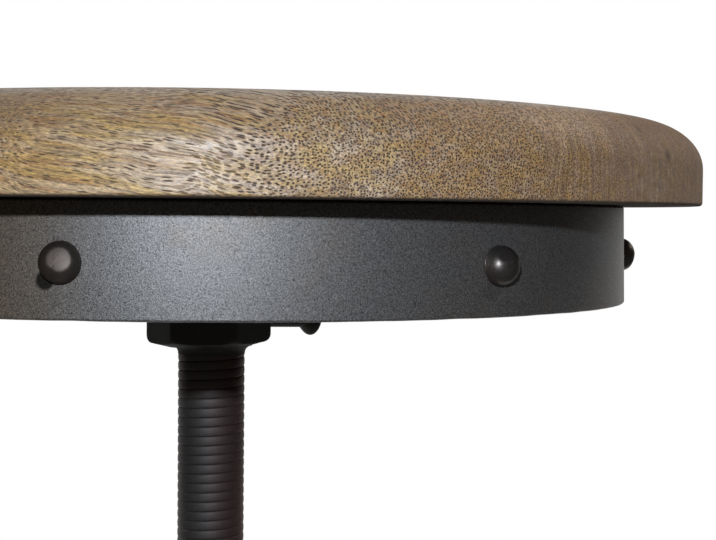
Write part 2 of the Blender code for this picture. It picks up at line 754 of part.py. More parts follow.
def build_glides():
    """The glides under the feet, each with a stem up through its foot."""
    radius = GLIDE_DIAMETER / 2
    stem = GLIDE_STEM_DIAMETER / 2
    stem_top = FOOT_AXIS_HEIGHT + LEG_THICKNESS / 2 + GAP + GLIDE_STEM_IN_NUT
    profile = [
        (0, stem_top),
        (stem, stem_top),
        (stem, GLIDE_HEIGHT),
        (radius - GLIDE_EDGE, GLIDE_HEIGHT),
        (radius, GLIDE_HEIGHT - GLIDE_EDGE),
        (radius, GLIDE_EDGE),
        (radius - GLIDE_EDGE, 0),
        (0, 0),
    ]
    glides = []
    for index, azimuth in enumerate(around(LEG_COUNT, LEG_FIRST_AZIMUTH)):
        glide = turned(f"glide_{index + 1}", profile, GLIDE_STEPS)
        glide.location = radial(azimuth) * glide_radius()
        glides.append(glide)
    return glides


def build_glide_nuts():
    """The domed nuts on the glides' stems."""
    bore = GLIDE_STEM_DIAMETER / 2 + RUNNING_FIT
    depth = GLIDE_STEM_IN_NUT + GAP
    profile = arc((0, 0), GLIDE_NUT_DIAMETER / 2, GLIDE_NUT_HEIGHT, math.pi / 2, 0, 4)
    profile[0] = (0, GLIDE_NUT_HEIGHT)
    profile += [(bore, 0), (bore, depth), (0, depth)]
    nuts = []
    for index, azimuth in enumerate(around(LEG_COUNT, LEG_FIRST_AZIMUTH)):
        nut = turned(f"glide_nut_{index + 1}", profile, FASTENER_STEPS)
        nut.location = radial(azimuth) * glide_radius()
        nut.location.z = FOOT_AXIS_HEIGHT + LEG_THICKNESS / 2 + GAP
        nuts.append(nut)
    return nuts


def cut_spindle_bore():
    """The bore through the collar, the hub nut and the hub."""
    length = SPINDLE_TOP - SPINDLE_BOTTOM
    diameter = SPINDLE_DIAMETER + 2 * RUNNING_FIT
    start = (0, 0, SPINDLE_BOTTOM)
    return hole_cutter(
        "spindle_bore", [(start, Vector((0, 0, 1)), length + 2 * GAP + MM, diameter)], SPINDLE_STEPS
    )


def cut_band_rivet_holes():
    """The rivet holes through the band and the pan's rim."""
    length = BAND_OUTER - PAN_RIM_INNER + 2 * BAND_THICKNESS
    diameter = BAND_RIVET_SHANK_DIAMETER + 2 * RUNNING_FIT
    holes = []
    for azimuth in around(BAND_RIVET_COUNT, BAND_RIVET_FIRST_AZIMUTH):
        start = radial(azimuth) * (PAN_RIM_INNER - BAND_THICKNESS)
        start.z = WOOD_UNDERSIDE - BAND_RIVET_DROP
        holes.append((start, radial(azimuth), length, diameter))
    return hole_cutter("band_rivet_holes", holes)


def cut_screw_holes():
    """The screw holes through the flange and the pan, blind in the wood."""
    diameter = SCREW_SHANK_DIAMETER + 2 * RUNNING_FIT
    holes = []
    for _, place, underside in seat_screw_places():
        start = underside - SCREW_HEAD_HEIGHT
        length = WOOD_UNDERSIDE + SCREW_DEPTH_IN_WOOD + GAP - start
        holes.append((place + Vector((0, 0, start)), Vector((0, 0, 1)), length, diameter))
    return hole_cutter("screw_holes", holes, SCREW_STEPS)


def cut_set_bolt_hole():
    """The set bolt's hole through one wall of the collar."""
    start = Vector((0, 0, WOOD_UNDERSIDE - SET_BOLT_DROP))
    diameter = SET_BOLT_SHANK_DIAMETER + 2 * RUNNING_FIT
    return hole_cutter("set_bolt_hole", [(start, set_bolt_direction(), COLLAR_ACROSS_FLATS, diameter)])


def cut_leg_bolt_holes():
    """The bolt holes through the legs, blind in the hub."""
    diameter = LEG_BOLT_SHANK_DIAMETER + 2 * RUNNING_FIT
    length = leg_bolt_length() + LEG_THICKNESS + GAP
    holes = []
    for azimuth, height in leg_bolt_places():
        start = radial(azimuth) * (SPINDLE_DIAMETER / 2 + RUNNING_FIT + LEG_BOLT_WALL - GAP)
        start.z = height
        holes.append((start, radial(azimuth), length, diameter))
    return hole_cutter("leg_bolt_holes", holes)


def cut_ring_rivet_holes():
    """The rivet holes through the legs and the foot ring."""
    diameter = RING_RIVET_SHANK_DIAMETER + 2 * RUNNING_FIT
    grip = ring_rivet_grip()
    holes = []
    for azimuth in around(LEG_COUNT, LEG_FIRST_AZIMUTH):
        inward = -shin_normal(azimuth)
        start = ring_rivet_seat(azimuth) - inward * LEG_THICKNESS
        holes.append((start, inward, grip + LEG_THICKNESS + FOOT_RING_THICKNESS, diameter))
    return hole_cutter("ring_rivet_holes", holes)


def cut_glide_holes():
    """The holes in the feet for the glides' stems."""
    diameter = GLIDE_STEM_DIAMETER + 2 * RUNNING_FIT
    holes = []
    for azimuth in around(LEG_COUNT, LEG_FIRST_AZIMUTH):
        start = radial(azimuth) * glide_radius()
        holes.append((start, Vector((0, 0, 1)), FOOT_AXIS_HEIGHT + LEG_THICKNESS, diameter))
    return hole_cutter("glide_holes", holes)


def axis_empty(name, parent):
    """An empty on the spindle's axis that carries a moving group."""
    empty = linked(name, None, PARTS)
    empty.parent = parent
    return empty


def carried(parent, material, *objects):
    """Parents objects to an empty on the axis and gives them their material."""
    for obj in objects:
        obj.parent = parent
        obj.data.materials.clear()
        obj.data.materials.append(material)


for old in list(bpy.data.objects):
    bpy.data.objects.remove(old)

PARTS = new_collection("industrial_bar_stool")
CUTTERS = new_collection("cutters")

SPINDLE_BORE = cut_spindle_bore()
BAND_RIVET_HOLES = cut_band_rivet_holes()
SCREW_HOLES = cut_screw_holes()
SET_BOLT_HOLE = cut_set_bolt_hole()
LEG_BOLT_HOLES = cut_leg_bolt_holes()
RING_RIVET_HOLES = cut_ring_rivet_holes()
GLIDE_HOLES = cut_glide_holes()

WOOD = new_material("oiled_wood", (0.24, 0.16, 0.08), 0.55, 0)
BAND_STEEL = new_material("coated_band_steel", (0.06, 0.055, 0.052), 0.5, 0.7)
DARK_STEEL = new_material("blackened_steel", (0.03, 0.027, 0.025), 0.5, 0.7)
BARE_STEEL = new_material("zinc_plated_steel", (0.45, 0.44, 0.42), 0.4, 1)
RUBBER = new_material("black_rubber", (0.02, 0.02, 0.02), 0.8, 0)

BASE = axis_empty("base_frame", None)
LIFT = axis_empty("lift_axis", BASE)
TURN = axis_empty("turn_axis", LIFT)

carried(TURN, WOOD, build_seat_top())
carried(TURN, BAND_STEEL, build_seat_band(), *build_band_rivets())
carried(TURN, DARK_STEEL, build_seat_pan(), build_seat_flange(), build_seat_collar(), build_collar_weld())
carried(TURN, DARK_STEEL, build_collar_set_bolt(), build_spindle(), build_spindle_end_bolt())
carried(TURN, BARE_STEEL, *build_seat_screws())
carried(LIFT, DARK_STEEL, build_stop_washer())
carried(BASE, DARK_STEEL, build_hub(), build_hub_nut(), *build_legs(), *build_leg_bolts())
carried(BASE, DARK_STEEL, build_foot_ring(), *build_ring_rivets(), *build_glide_nuts())
carried(BASE, RUBBER, *build_glides())
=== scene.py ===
"""An industrial bar stool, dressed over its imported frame.

The stool is a round wooden seat on a riveted steel band, a threaded spindle in a hexagonal collar, a
square hub with four bent strap legs, and a flat foot ring. Every piece of the frame is replaced by a
finer surface in the same place. It leaves out the holes that the fasteners fill, and elsewhere it keeps
within a few millimetres of the frame.

Metres, +Z up. The origin is on the floor, on the spindle's axis. An azimuth is measured in degrees from
the front, -Y, towards +X.
"""

import logging
import math
from abc import ABC, abstractmethod
from dataclasses import dataclass, field
from enum import Enum
from typing import Any, Iterator, Mapping, Optional, Sequence, Union

import bpy
import numpy as np
from mathutils import Matrix, Vector
from numpy.typing import NDArray


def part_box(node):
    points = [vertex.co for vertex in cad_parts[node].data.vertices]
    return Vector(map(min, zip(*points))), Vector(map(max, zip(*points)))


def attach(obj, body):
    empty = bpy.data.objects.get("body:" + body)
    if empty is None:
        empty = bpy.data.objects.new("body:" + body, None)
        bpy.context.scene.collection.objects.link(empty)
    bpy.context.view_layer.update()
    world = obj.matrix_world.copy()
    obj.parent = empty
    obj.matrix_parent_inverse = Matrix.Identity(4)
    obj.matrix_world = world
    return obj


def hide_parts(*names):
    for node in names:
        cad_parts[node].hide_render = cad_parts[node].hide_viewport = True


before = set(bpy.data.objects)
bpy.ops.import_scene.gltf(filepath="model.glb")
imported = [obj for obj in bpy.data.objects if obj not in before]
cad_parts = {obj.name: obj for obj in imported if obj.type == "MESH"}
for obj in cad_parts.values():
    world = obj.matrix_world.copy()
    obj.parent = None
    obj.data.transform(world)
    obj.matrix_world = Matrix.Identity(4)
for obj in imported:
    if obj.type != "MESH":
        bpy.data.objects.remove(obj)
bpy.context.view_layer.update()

LOG = logging.getLogger("bar_stool")
MM = 0.001
GAP = 0.3 * MM

Array = NDArray[np.float64]
Color = tuple[float, float, float]
Point = tuple[float, float]


class Body(Enum):
    """The bodies of the frame that a piece can ride on."""

    BASE = "base"
    LIFT_STOP = "lift_stop"
    SEAT = "seat"


class Slot(Enum):
    """The finishes that the stool's record names."""

    WOOD = "oiled_wood"
    BAND = "band_coat"
    RIVET = "rivet_bronze"
    BLACK = "black_steel"
    THREAD = "thread_steel"
    LEG = "leg_steel"
    ZINC = "zinc_screw"
    RUBBER = "glide_rubber"


class Drive(Enum):
    """The recess in a fastener's head."""

    NONE = "none"
    CROSS = "cross"


# Profiles and surfaces


def arc(center: Point, radii: Point, start: float, end: float, count: int) -> Array:
    """Points of an elliptical arc in a profile's plane.

    Each point is the centre plus the radii times the cosine and sine of an angle that runs evenly from
    start to end.

    Args:
        center: Radius and height of the arc's centre.
        radii: Half axes of the ellipse, outwards and upwards.
        start: First angle in degrees, measured from the outward side.
        end: Last angle in degrees.
        count: Number of points.

    Returns:
        An array of (radius, height) rows.
    """
    angle = np.radians(np.linspace(start, end, count))
    return np.column_stack((center[0] + radii[0] * np.cos(angle), center[1] + radii[1] * np.sin(angle)))


def run(start: Point, end: Point, count: int = 2) -> Array:
    """Evenly spaced points of a straight line from start to end."""
    return np.linspace(start, end, count)


def joined(*parts: Array) -> Array:
    """One profile from several, without the points that repeat where they meet."""
    profile = np.concatenate(parts)
    step = np.linalg.norm(np.diff(profile, axis=0), axis=1)
    return profile[np.concatenate(([True], step > 1e-7))]


def ripple(angle: Array, waves: Sequence[tuple[int, float, float]]) -> Array:
    """A smooth uneven line round a turn: the sum of sines.

    Args:
        angle: Angles in radians.
        waves: Number of waves per turn, height and phase of each sine.

    Returns:
        The summed heights, shaped as the angles.
    """
    count, height, phase = (np.array(column) for column in zip(*waves))
    return np.sum(height * np.sin(angle[..., None] * count + phase), axis=-1)


def outward(azimuth: float) -> Vector:
    """The horizontal direction at an azimuth in degrees."""
    turn = math.radians(azimuth)
    return Vector((math.sin(turn), -math.cos(turn), 0.0))


def facing(place: Vector, direction: Vector) -> Matrix:
    """The matrix that carries local +Z onto a direction, and +Y upwards, with its origin at a place."""
    return Matrix.Translation(place) @ direction.to_track_quat("Z", "Y").to_matrix().to_4x4()


def around(count: int, first: float = 0.0) -> list[float]:
    """Azimuths in degrees of a ring of evenly spaced copies."""
    return [first + 360.0 * index / count for index in range(count)]


def mark(azimuth: float, radius: float, height: float) -> Vector:
    """A place from its azimuth in degrees, its distance from the axis and its height."""
    return outward(azimuth) * radius + Vector((0.0, 0.0, height))


def grid_quads(index: NDArray[np.int64]) -> NDArray[np.int64]:
    """The quads between neighbouring rows and columns of a grid of vertex numbers."""
    corners = (index[:-1, :-1], index[:-1, 1:], index[1:, 1:], index[1:, :-1])
    return np.stack(corners, axis=-1).reshape(-1, 4)


@dataclass(frozen=True)
class Surface:
    """A grid of points that becomes a closed mesh.

    The columns always join up, the last with the first, or with the first some rows further on where a
    shift is given. The rows join up where the section is a ring, and otherwise the first and the last
    row shrink to a point.
    """

    points: Array
    ring: bool = False
    shift: int = 0

    def placed(self, matrix: Matrix) -> "Surface":
        """The surface carried by a matrix."""
        carry = np.array(matrix)
        return Surface(self.points @ carry[:3, :3].T + carry[:3, 3], self.ring, self.shift)

    def faces(self) -> tuple[Array, NDArray[np.int64], NDArray[np.int64]]:
        """Welds the grid into faces that point outwards.

        Points that coincide count as one vertex. A quad with two such corners becomes a triangle, and
        one with more is left out. The enclosed volume, summed from the origin over all triangles, is
        negative for an inside-out surface, whose faces are then turned round.

        Returns:
            The vertices, the quads and the triangles.
        """
        rows, columns, _ = self.points.shape
        places = np.round(self.points.reshape(-1, 3), 8) + 0.0
        vertices, index = np.unique(places, axis=0, return_inverse=True)
        index = index.reshape(rows, columns)
        seam = np.concatenate((index[self.shift :, 0], np.repeat(index[-1, 0], self.shift)))
        index = np.column_stack((index, seam))
        if self.ring:
            index = np.vstack((index, index[:1]))
        quads = grid_quads(index)
        repeated = quads == np.roll(quads, -1, axis=1)
        count = repeated.sum(axis=1)
        triangles = quads[count == 1][~repeated[count == 1]].reshape(-1, 3)
        quads = quads[count == 0]
        halves = np.concatenate((triangles, quads[:, [0, 1, 2]], quads[:, [0, 2, 3]]))
        a, b, c = (vertices[halves[:, corner]] for corner in range(3))
        if np.sum(np.cross(a, b) * c) < 0:
            quads, triangles = quads[:, ::-1], triangles[:, ::-1]
        return vertices, quads, triangles

    def mesh(self, name: str, crease: float) -> bpy.types.Mesh:
        """The surface as a mesh that is smooth but for edges sharper than the crease, in degrees."""
        vertices, quads, triangles = self.faces()
        mesh = bpy.data.meshes.new(name)
        mesh.from_pydata(vertices.tolist(), [], quads.tolist() + triangles.tolist())
        mesh.update()
        mesh.shade_smooth()
        mesh.set_sharp_from_angle(angle=math.radians(crease))
        return mesh


def turned(profile: Array, steps: int, ring: bool = False) -> Surface:
    """A surface of revolution about Z.

    A profile point of radius r and height z becomes, at each azimuth t, the point
    (r sin t, -r cos t, z).

    Args:
        profile: (radius, height) rows, from axis to axis or round a ring's section.
        steps: Number of points round the axis.
        ring: True where the profile closes on itself.

    Returns:
        The surface.
    """
    angle = np.linspace(0.0, 2.0 * np.pi, steps, endpoint=False)
    radius, height = profile[:, :1], profile[:, 1:]
    points = np.stack(
        (radius * np.sin(angle), -radius * np.cos(angle), height + np.zeros_like(angle)), axis=-1
    )
    return Surface(points, ring)


def flat_sided(rows: Array, sides: int, across_flats: float, turn: float, steps: int, ring: bool) -> Surface:
    """A nut or block about Z, with flat sides and slightly rounded corners.

    The distance from the axis to the flats at an angle t is half the width over flats, divided by the
    high power mean of the cosines between t and the flats' directions. Each row lies at the smaller of
    its own reach and that distance less its inset.

    Args:
        rows: (reach, height, inset) of each row, from axis to axis or round a ring's section.
        sides: Number of flats.
        across_flats: Distance between opposite flats.
        turn: Azimuth of the first flat in degrees.
        steps: Number of points round the axis.
        ring: True where the rows close on themselves.

    Returns:
        The surface.
    """
    power = 70.0
    angle = np.linspace(0.0, 2.0 * np.pi, steps, endpoint=False)
    flats = np.radians(turn + np.arange(sides) * 360.0 / sides)
    cosines = np.clip(np.cos(angle[:, None] - flats), 0.0, None)
    reach = across_flats / 2.0 / np.sum(cosines**power, axis=1) ** (1.0 / power)
    radius = np.minimum(rows[:, :1], reach - rows[:, 2:])
    points = np.stack(
        (radius * np.sin(angle), -radius * np.cos(angle), rows[:, 1:2] + np.zeros_like(angle)), axis=-1
    )
    return Surface(points, ring)


def round_section(half_width: Array, half_depth: Array, edge: float, count: int) -> tuple[Array, Array]:
    """Outlines of rectangles with rounded edges, one for each row.

    Each quarter of an outline is the quarter's corner centre plus the edge radius times the cosine and
    sine of an angle over that quarter.

    Args:
        half_width: Half the width of each row's rectangle.
        half_depth: Half the depth of each row's rectangle.
        edge: Radius of the edges.
        count: Points in each quarter.

    Returns:
        The places along the width and along the depth, a row for each rectangle.
    """
    quarter = np.linspace(0.0, np.pi / 2, count)
    angle = np.concatenate([quarter + side * np.pi / 2 for side in range(4)])
    across = np.repeat([1.0, -1.0, -1.0, 1.0], count)
    deep = np.repeat([1.0, 1.0, -1.0, -1.0], count)
    return (
        across * (half_width[:, None] - edge) + edge * np.cos(angle),
        deep * (half_depth[:, None] - edge) + edge * np.sin(angle),
    )


def dome(radius: float, height: float, fullness: float, count: int) -> Array:
    """The profile of a domed head from its top to its rim.

    The points are the radius times the sine, and the height times the cosine, of an angle over a
    quarter turn, each to the power 2 / fullness. A fullness of 2 is an ellipse and more is flatter.

    Args:
        radius: Radius of the rim.
        height: Height of the top above the rim.
        fullness: Shape of the dome.
        count: Number of points.

    Returns:
        An array of (radius, height) rows.
    """
    angle = np.linspace(0.0, np.pi / 2, count)
    power = 2.0 / fullness
    sine, cosine = np.sin(angle), np.clip(np.cos(angle), 0.0, None)
    cosine[-1] = 0.0
    return np.column_stack((radius * sine**power, height * cosine**power))


# Shader values


class Signal:
    """A shader socket that takes part in Python expressions."""

    def __init__(self, shader: "Shader", socket: bpy.types.NodeSocket) -> None:
        """Keeps the socket and the shader that it belongs to."""
        self.shader = shader
        self.socket = socket

    def __add__(self, other: "Value") -> "Signal":
        """The sum with a value."""
        return self.shader.math("ADD", self, other)

    def __radd__(self, other: "Value") -> "Signal":
        """A number plus this."""
        return self.shader.math("ADD", other, self)

    def __sub__(self, other: "Value") -> "Signal":
        """The difference from a value."""
        return self.shader.math("SUBTRACT", self, other)

    def __rsub__(self, other: "Value") -> "Signal":
        """A number less this."""
        return self.shader.math("SUBTRACT", other, self)

    def __mul__(self, other: "Value") -> "Signal":
        """The product with a value."""
        return self.shader.math("MULTIPLY", self, other)

    def __truediv__(self, other: "Value") -> "Signal":
        """The quotient by a value."""
        return self.shader.math("DIVIDE", self, other)

    def __floor__(self) -> "Signal":
        """The whole number below."""
        return self.shader.math("FLOOR", self)

    def at_least(self, other: "Value") -> "Signal":
        """The larger of this and a value."""
        return self.shader.math("MAXIMUM", self, other)

    def at_most(self, other: "Value") -> "Signal":
        """The smaller of this and a value."""
        return self.shader.math("MINIMUM", self, other)

    def ramp(self, low: float, high: float) -> "Signal":
        """A smooth step from 0 at low to 1 at high."""
        sockets = {"Value": self, "From Min": low, "From Max": high, "To Min": 0.0, "To Max": 1.0}
        return self.shader.take("ShaderNodeMapRange", {"interpolation_type": "SMOOTHSTEP"}, sockets)


Value = Union[Signal, float]
Tint = Union[Signal, Color]


class Shader:
    """A node tree under construction."""

    def __init__(self, tree: bpy.types.NodeTree) -> None:
        """Starts from an empty tree."""
        self.tree = tree
        self.tree.nodes.clear()

    def node(
        self,
        kind: str,
        settings: Optional[Mapping[str, Any]] = None,
        sockets: Optional[Mapping[Union[str, int], Any]] = None,
    ) -> bpy.types.Node:
        """Adds a node.

        Args:
            kind: The node's type.
            settings: The node's own properties, which are set first.
            sockets: A number, colour, vector or Signal for each input that is given.

        Returns:
            The node.
        """
        node = self.tree.nodes.new(kind)
        for name, value in (settings or {}).items():
            setattr(node, name, value)
        for key, value in (sockets or {}).items():
            self.feed(node.inputs[key], value)
        return node

    def feed(self, socket: bpy.types.NodeSocket, value: Any) -> None:
        """Links a Signal to an input, or sets the input's own value."""
        if isinstance(value, Signal):
            self.tree.links.new(value.socket, socket)
        elif socket.type == "RGBA":
            socket.default_value = (*value, 1.0)
        else:
            socket.default_value = value

    def take(
        self,
        kind: str,
        settings: Optional[Mapping[str, Any]] = None,
        sockets: Optional[Mapping[Union[str, int], Any]] = None,
        output: Union[str, int] = 0,
    ) -> Signal:
        """Adds a node, as node() does, and gives one of its outputs."""
        return Signal(self, self.node(kind, settings, sockets).outputs[output])

    def math(self, operation: str, *values: Value) -> Signal:
        """A Math node on one or two values."""
        return self.take("ShaderNodeMath", {"operation": operation}, dict(enumerate(values)))

    def vector(self, operation: str, *values: Any) -> Signal:
        """A Vector Math node on one or two vectors."""
        return self.take("ShaderNodeVectorMath", {"operation": operation}, dict(enumerate(values)))

    def along(self, position: Signal, direction: Vector) -> Signal:
        """How far a position lies along a direction."""
        sockets = {0: position, 1: tuple(direction)}
        return self.take("ShaderNodeVectorMath", {"operation": "DOT_PRODUCT"}, sockets, "Value")

    def place(self, x: Value, y: Value, z: Value) -> Signal:
        """A vector from three values."""
        return self.take("ShaderNodeCombineXYZ", None, {0: x, 1: y, 2: z})

    def position(self) -> Signal:
        """The place on the piece, in metres in the stool's frame."""
        return self.take("ShaderNodeTexCoord", None, None, "Object")

    def mix(self, factor: Value, low: Tint, high: Tint, blend: str = "MIX") -> Signal:
        """A colour between two, or their product and so on where another blend is named."""
        settings = {"data_type": "RGBA", "blend_type": blend}
        return self.take("ShaderNodeMix", settings, {0: factor, 6: low, 7: high}, 2)

    def noise(self, position: Signal, scale: float, detail: float = 3.0, roughness: float = 0.5) -> Signal:
        """Smooth noise of about 0 to 1. The scale is in waves per unit of position."""
        sockets = {"Vector": position, "Scale": scale, "Detail": detail, "Roughness": roughness}
        return self.take("ShaderNodeTexNoise", None, sockets, "Fac")

    def bump(self, height: Signal, strength: float, distance: float) -> Signal:
        """A normal that follows a height of 0 to 1 over a distance in metres."""
        sockets = {"Strength": strength, "Distance": distance, "Height": height}
        return self.take("ShaderNodeBump", None, sockets)

    def principled(self, sockets: Mapping[Union[str, int], Any]) -> None:
        """Ends a material's tree with its shader."""
        shader = self.node("ShaderNodeBsdfPrincipled", None, sockets)
        output = self.node("ShaderNodeOutputMaterial")
        self.tree.links.new(shader.outputs[0], output.inputs["Surface"])


# Finishes


class Finish(ABC):
    """A look that becomes a material."""

    slot: Slot

    def material(self) -> bpy.types.Material:
        """A new material with this finish."""
        material = bpy.data.materials.new(self.slot.value)
        material.use_nodes = True
        self.paint(Shader(material.node_tree))
        return material

    @abstractmethod
    def paint(self, shader: Shader) -> None:
        """Fills the material's node tree."""


@dataclass(frozen=True)
class OiledWood(Finish):
    """Oiled hardwood with open pores, glued up from staves, as solid wood in three dimensions.

    The fibres run level across the seat at one azimuth. At the front left they lean round until they
    lie along the rim, so the pores there show as long dashes and as dots where they come out end on.
    Lengths are in millimetres. A band gives the two places between which a mask changes: by height for
    the top shade, lower edge shade and rim sheen bands, by distance from the axis for the rim sheen's
    reach, and by distance to the right of the middle for the others. The colour holds painted light:
    painted shade on the upper rounding and on the lower edge, and a pale painted sheen along the top edge.
    """

    slot: Slot = Slot.WOOD
    fibre_azimuth: float = 45.0
    first_seam: float = -86.4
    stave_width: float = 45.0
    lean: float = 0.7
    dip: float = 0.2
    lean_from: float = -90.0
    lean_full: float = -138.0
    lean_center: float = 140.0
    # The first three bands place painted light: painted shade on the upper rounding and on the lower edge,
    # and a painted sheen along the top edge.
    top_shade_band: Point = (686.0, 703.0)
    lower_edge_shade_band: Point = (675.2, 676.1)
    rim_sheen_band: Point = (702.0, 704.4)
    rim_sheen_reach: Point = (151.0, 167.0)
    calm_band: Point = (102.0, 138.0)
    aged_band: Point = (-62.0, -26.0)
    golden_band: Point = (-24.0, 2.0)
    warm_band: Point = (38.0, 78.0)
    pore_spacing: float = 0.82
    dash_spacing: float = 0.68
    dash_length: float = 3.8
    tan: Color = (0.6, 0.452, 0.308)
    ochre: Color = (0.52, 0.325, 0.085)
    rust: Color = (0.34, 0.165, 0.055)
    umber: Color = (0.16, 0.105, 0.055)
    grey: Color = (0.25, 0.18, 0.15)
    brown: Color = (0.13, 0.078, 0.055)
    pore: Color = (0.048, 0.03, 0.025)
    lower_edge_shade_color: Color = (0.06, 0.04, 0.024)
    # pale is the colour of the painted sheen along the top edge.
    pale: Color = (0.37, 0.355, 0.32)
    amber: Color = (0.46, 0.2, 0.03)
    roughness: float = 0.38
    gloss: float = 0.48
    knots: tuple["Scuff", ...] = ()

    @staticmethod
    def pores(shader: Shader, grid: Signal, dimensions: str) -> Signal:
        """Open pores, one in most cells of a grid: tubes where it is 2D, dashes where it is 3D."""
        settings = {"feature": "F1", "voronoi_dimensions": dimensions}
        sockets = {"Vector": grid, "Scale": 1.0, "Randomness": 0.9}
        cells = shader.node("ShaderNodeTexVoronoi", settings, sockets)
        kind = shader.node("ShaderNodeSeparateColor", None, {0: Signal(shader, cells.outputs["Color"])})
        open_enough = Signal(shader, kind.outputs[0]).ramp(0.0, 0.3)
        return (1.0 - Signal(shader, cells.outputs["Distance"]).ramp(0.2, 0.4)) * open_enough

    def paint(self, shader: Shader) -> None:
        """Builds the grain, the staves and the pores."""
        position = shader.vector("MULTIPLY", shader.position(), (1000.0, 1000.0, 1000.0))
        fibre = outward(self.fibre_azimuth)
        along = shader.along(position, fibre)
        across = shader.along(position, Vector((-fibre.y, fibre.x, 0.0)))
        up = shader.along(position, Vector((0.0, 0.0, 1.0)))

        stave = math.floor((across - self.first_seam) / self.stave_width).at_least(-1.0)
        shade = shader.math("FRACT", stave * 0.37 + 0.37)
        dense = (stave + 1.0).at_most(1.0)
        striped = stave.at_least(0.0).at_most(1.0)
        # Painted shade: the colour darkens towards the upper rounding and on the lower edge.
        tint_zone = up.ramp(*self.top_shade_band)
        lower_edge_shade = 1.0 - up.ramp(*self.lower_edge_shade_band)
        sideways = shader.along(position, Vector((1.0, 0.0, 0.0)))
        calm = sideways.ramp(*self.calm_band)
        aged = 1.0 - sideways.ramp(*self.aged_band)
        golden = 1.0 - sideways.ramp(*self.golden_band)
        warm = sideways.ramp(*self.warm_band) - calm
        # Painted sheen: the rim mask lightens the top edge towards pale.
        flattened = shader.vector("MULTIPLY", position, (1.0, 1.0, 0.0))
        reach = shader.take("ShaderNodeVectorMath", {"operation": "LENGTH"}, {0: flattened}, "Value")
        rim = up.ramp(*self.rim_sheen_band) * reach.ramp(*self.rim_sheen_reach)

        wander = shader.noise(position, 0.022, 2.0) - 0.5
        sway = shader.noise(shader.vector("ADD", position, (310.0, 170.0, 40.0)), 0.03, 2.0) - 0.5
        leaning = 1.0 - across.ramp(self.lean_full, self.lean_from)
        lying = leaning.ramp(0.7, 1.0)
        ahead = along - self.lean_center
        across = across - leaning * ahead * self.lean + wander * 9.0
        up = up + ahead * leaning * self.dip + sway * 9.0

        patch = shader.noise(shader.place(along / 28.0, across / 6.5, up / 4.2), 1.0, 6.0, 0.65)
        figure = shader.noise(shader.place(along / 20.0, across / 4.5, up / 3.0 + 7.0), 1.0, 6.0, 0.68)
        vein = shader.noise(shader.place(along / 34.0, across / 1.5, up / 1.2 + 3.0), 1.0, 4.0, 0.6)
        stripe = shader.noise(shader.place(along / 60.0, across / 1.3, up / 34.0), 1.0, 3.0, 0.6)
        band = shader.noise(shader.place(along / 60.0, across / 2.6 + 11.0, up / 34.0), 1.0, 2.0, 0.5)
        along = along + stave * 83.0
        streak = shader.noise(shader.place(along / 8.0, across / 0.65, up / 0.65), 1.0, 4.0, 0.65)
        fleck = shader.noise(shader.place(along / 1.3, across / 0.42, up / 0.42), 1.0, 3.0, 0.7)

        yellow = (patch.ramp(0.38, 0.6) * (0.65 + leaning * 0.2)).at_least(golden * 0.38)
        color = shader.mix(yellow, self.tan, self.ochre)
        color = shader.mix(figure.ramp(0.47, 0.64) * (0.6 - leaning * 0.18), color, self.grey)
        color = shader.mix(shade * 0.26, color, self.brown)
        color = shader.mix(dense * 0.2, color, self.rust)
        # Painted shade: umber towards the upper rounding.
        color = shader.mix(tint_zone * 0.45, color, self.umber)
        color = shader.mix(vein.ramp(0.46, 0.66) * (0.6 + tint_zone * 0.25), color, self.rust)
        streaked = 0.5 - leaning * 0.1 - calm * 0.2 + aged * tint_zone * 0.4
        color = shader.mix(streak.ramp(0.44, 0.64) * streaked, color, self.brown)
        color = shader.mix(stripe.ramp(0.45, 0.56) * striped * (0.75 - calm * 0.45), color, self.umber)
        color = shader.mix(band.ramp(0.45, 0.6) * striped * 0.4, color, self.grey)
        color = shader.mix(warm * 0.14, color, self.amber)
        color = shader.mix(calm * 0.25, color, self.grey)
        color = shader.mix(aged * 0.22, color, self.rust)
        # More painted shade on the upper rounding at the left.
        color = shader.mix(aged * tint_zone * 0.6, color, self.umber)
        # Painted sheen along the top edge.
        color = shader.mix(rim * 0.45, color, self.pale)
        # Painted shade on the lower edge.
        color = shader.mix(lower_edge_shade, color, self.lower_edge_shade_color)
        level = (fleck * 3.0 - 0.4) * (1.0 + striped * (0.22 - calm * 0.18))
        for knot in self.knots:
            level = level * (1.0 - knot.mask(shader, position))
        color = shader.mix(1.0, color, shader.place(level, level, level), "MULTIPLY")

        spacing = self.pore_spacing - dense * 0.04
        tubes = self.pores(shader, shader.place(across / spacing, up / spacing, 0.0), "2D")
        dashes = shader.place(along / self.dash_length, across / self.dash_spacing, up / self.dash_spacing)
        dashes = self.pores(shader, dashes, "3D")
        pores = (tubes * (1.0 - lying * 0.6)).at_least(dashes * lying * 0.9)
        pores = pores * (1.0 - striped * 0.2) * (1.0 - calm * 0.75)
        color = shader.mix(pores * 0.94, color, self.pore)

        roughness = self.roughness + pores * 0.3 + (fleck - 0.5) * 0.2
        shader.principled(
            {
                "Base Color": color,
                "Roughness": roughness + tint_zone * 0.2 + lower_edge_shade * 0.4 + calm * 0.4,
                "Specular IOR Level": self.gloss,
                "Normal": shader.bump(fleck * 0.35 - pores, 0.5, 0.25 * MM),
            }
        )


@dataclass(frozen=True)
class Scuff:
    """A soft-edged dark spot, used as a dulled mark and as a painted shadow on a coat, and as a knot in wood.

    The place and the radius are in the units of the finish: metres on a coat, millimetres in wood.
    """

    place: Vector
    radius: float
    depth: float
    softness: float = 0.25

    def mask(self, shader: Shader, position: Signal) -> Signal:
        """How strong the mark is at a position: its depth inside, with a soft edge."""
        sockets = {0: position, 1: tuple(self.place)}
        away = shader.take("ShaderNodeVectorMath", {"operation": "DISTANCE"}, sockets, "Value")
        return (1.0 - away.ramp((1.0 - self.softness) * self.radius, 1.1 * self.radius)) * self.depth


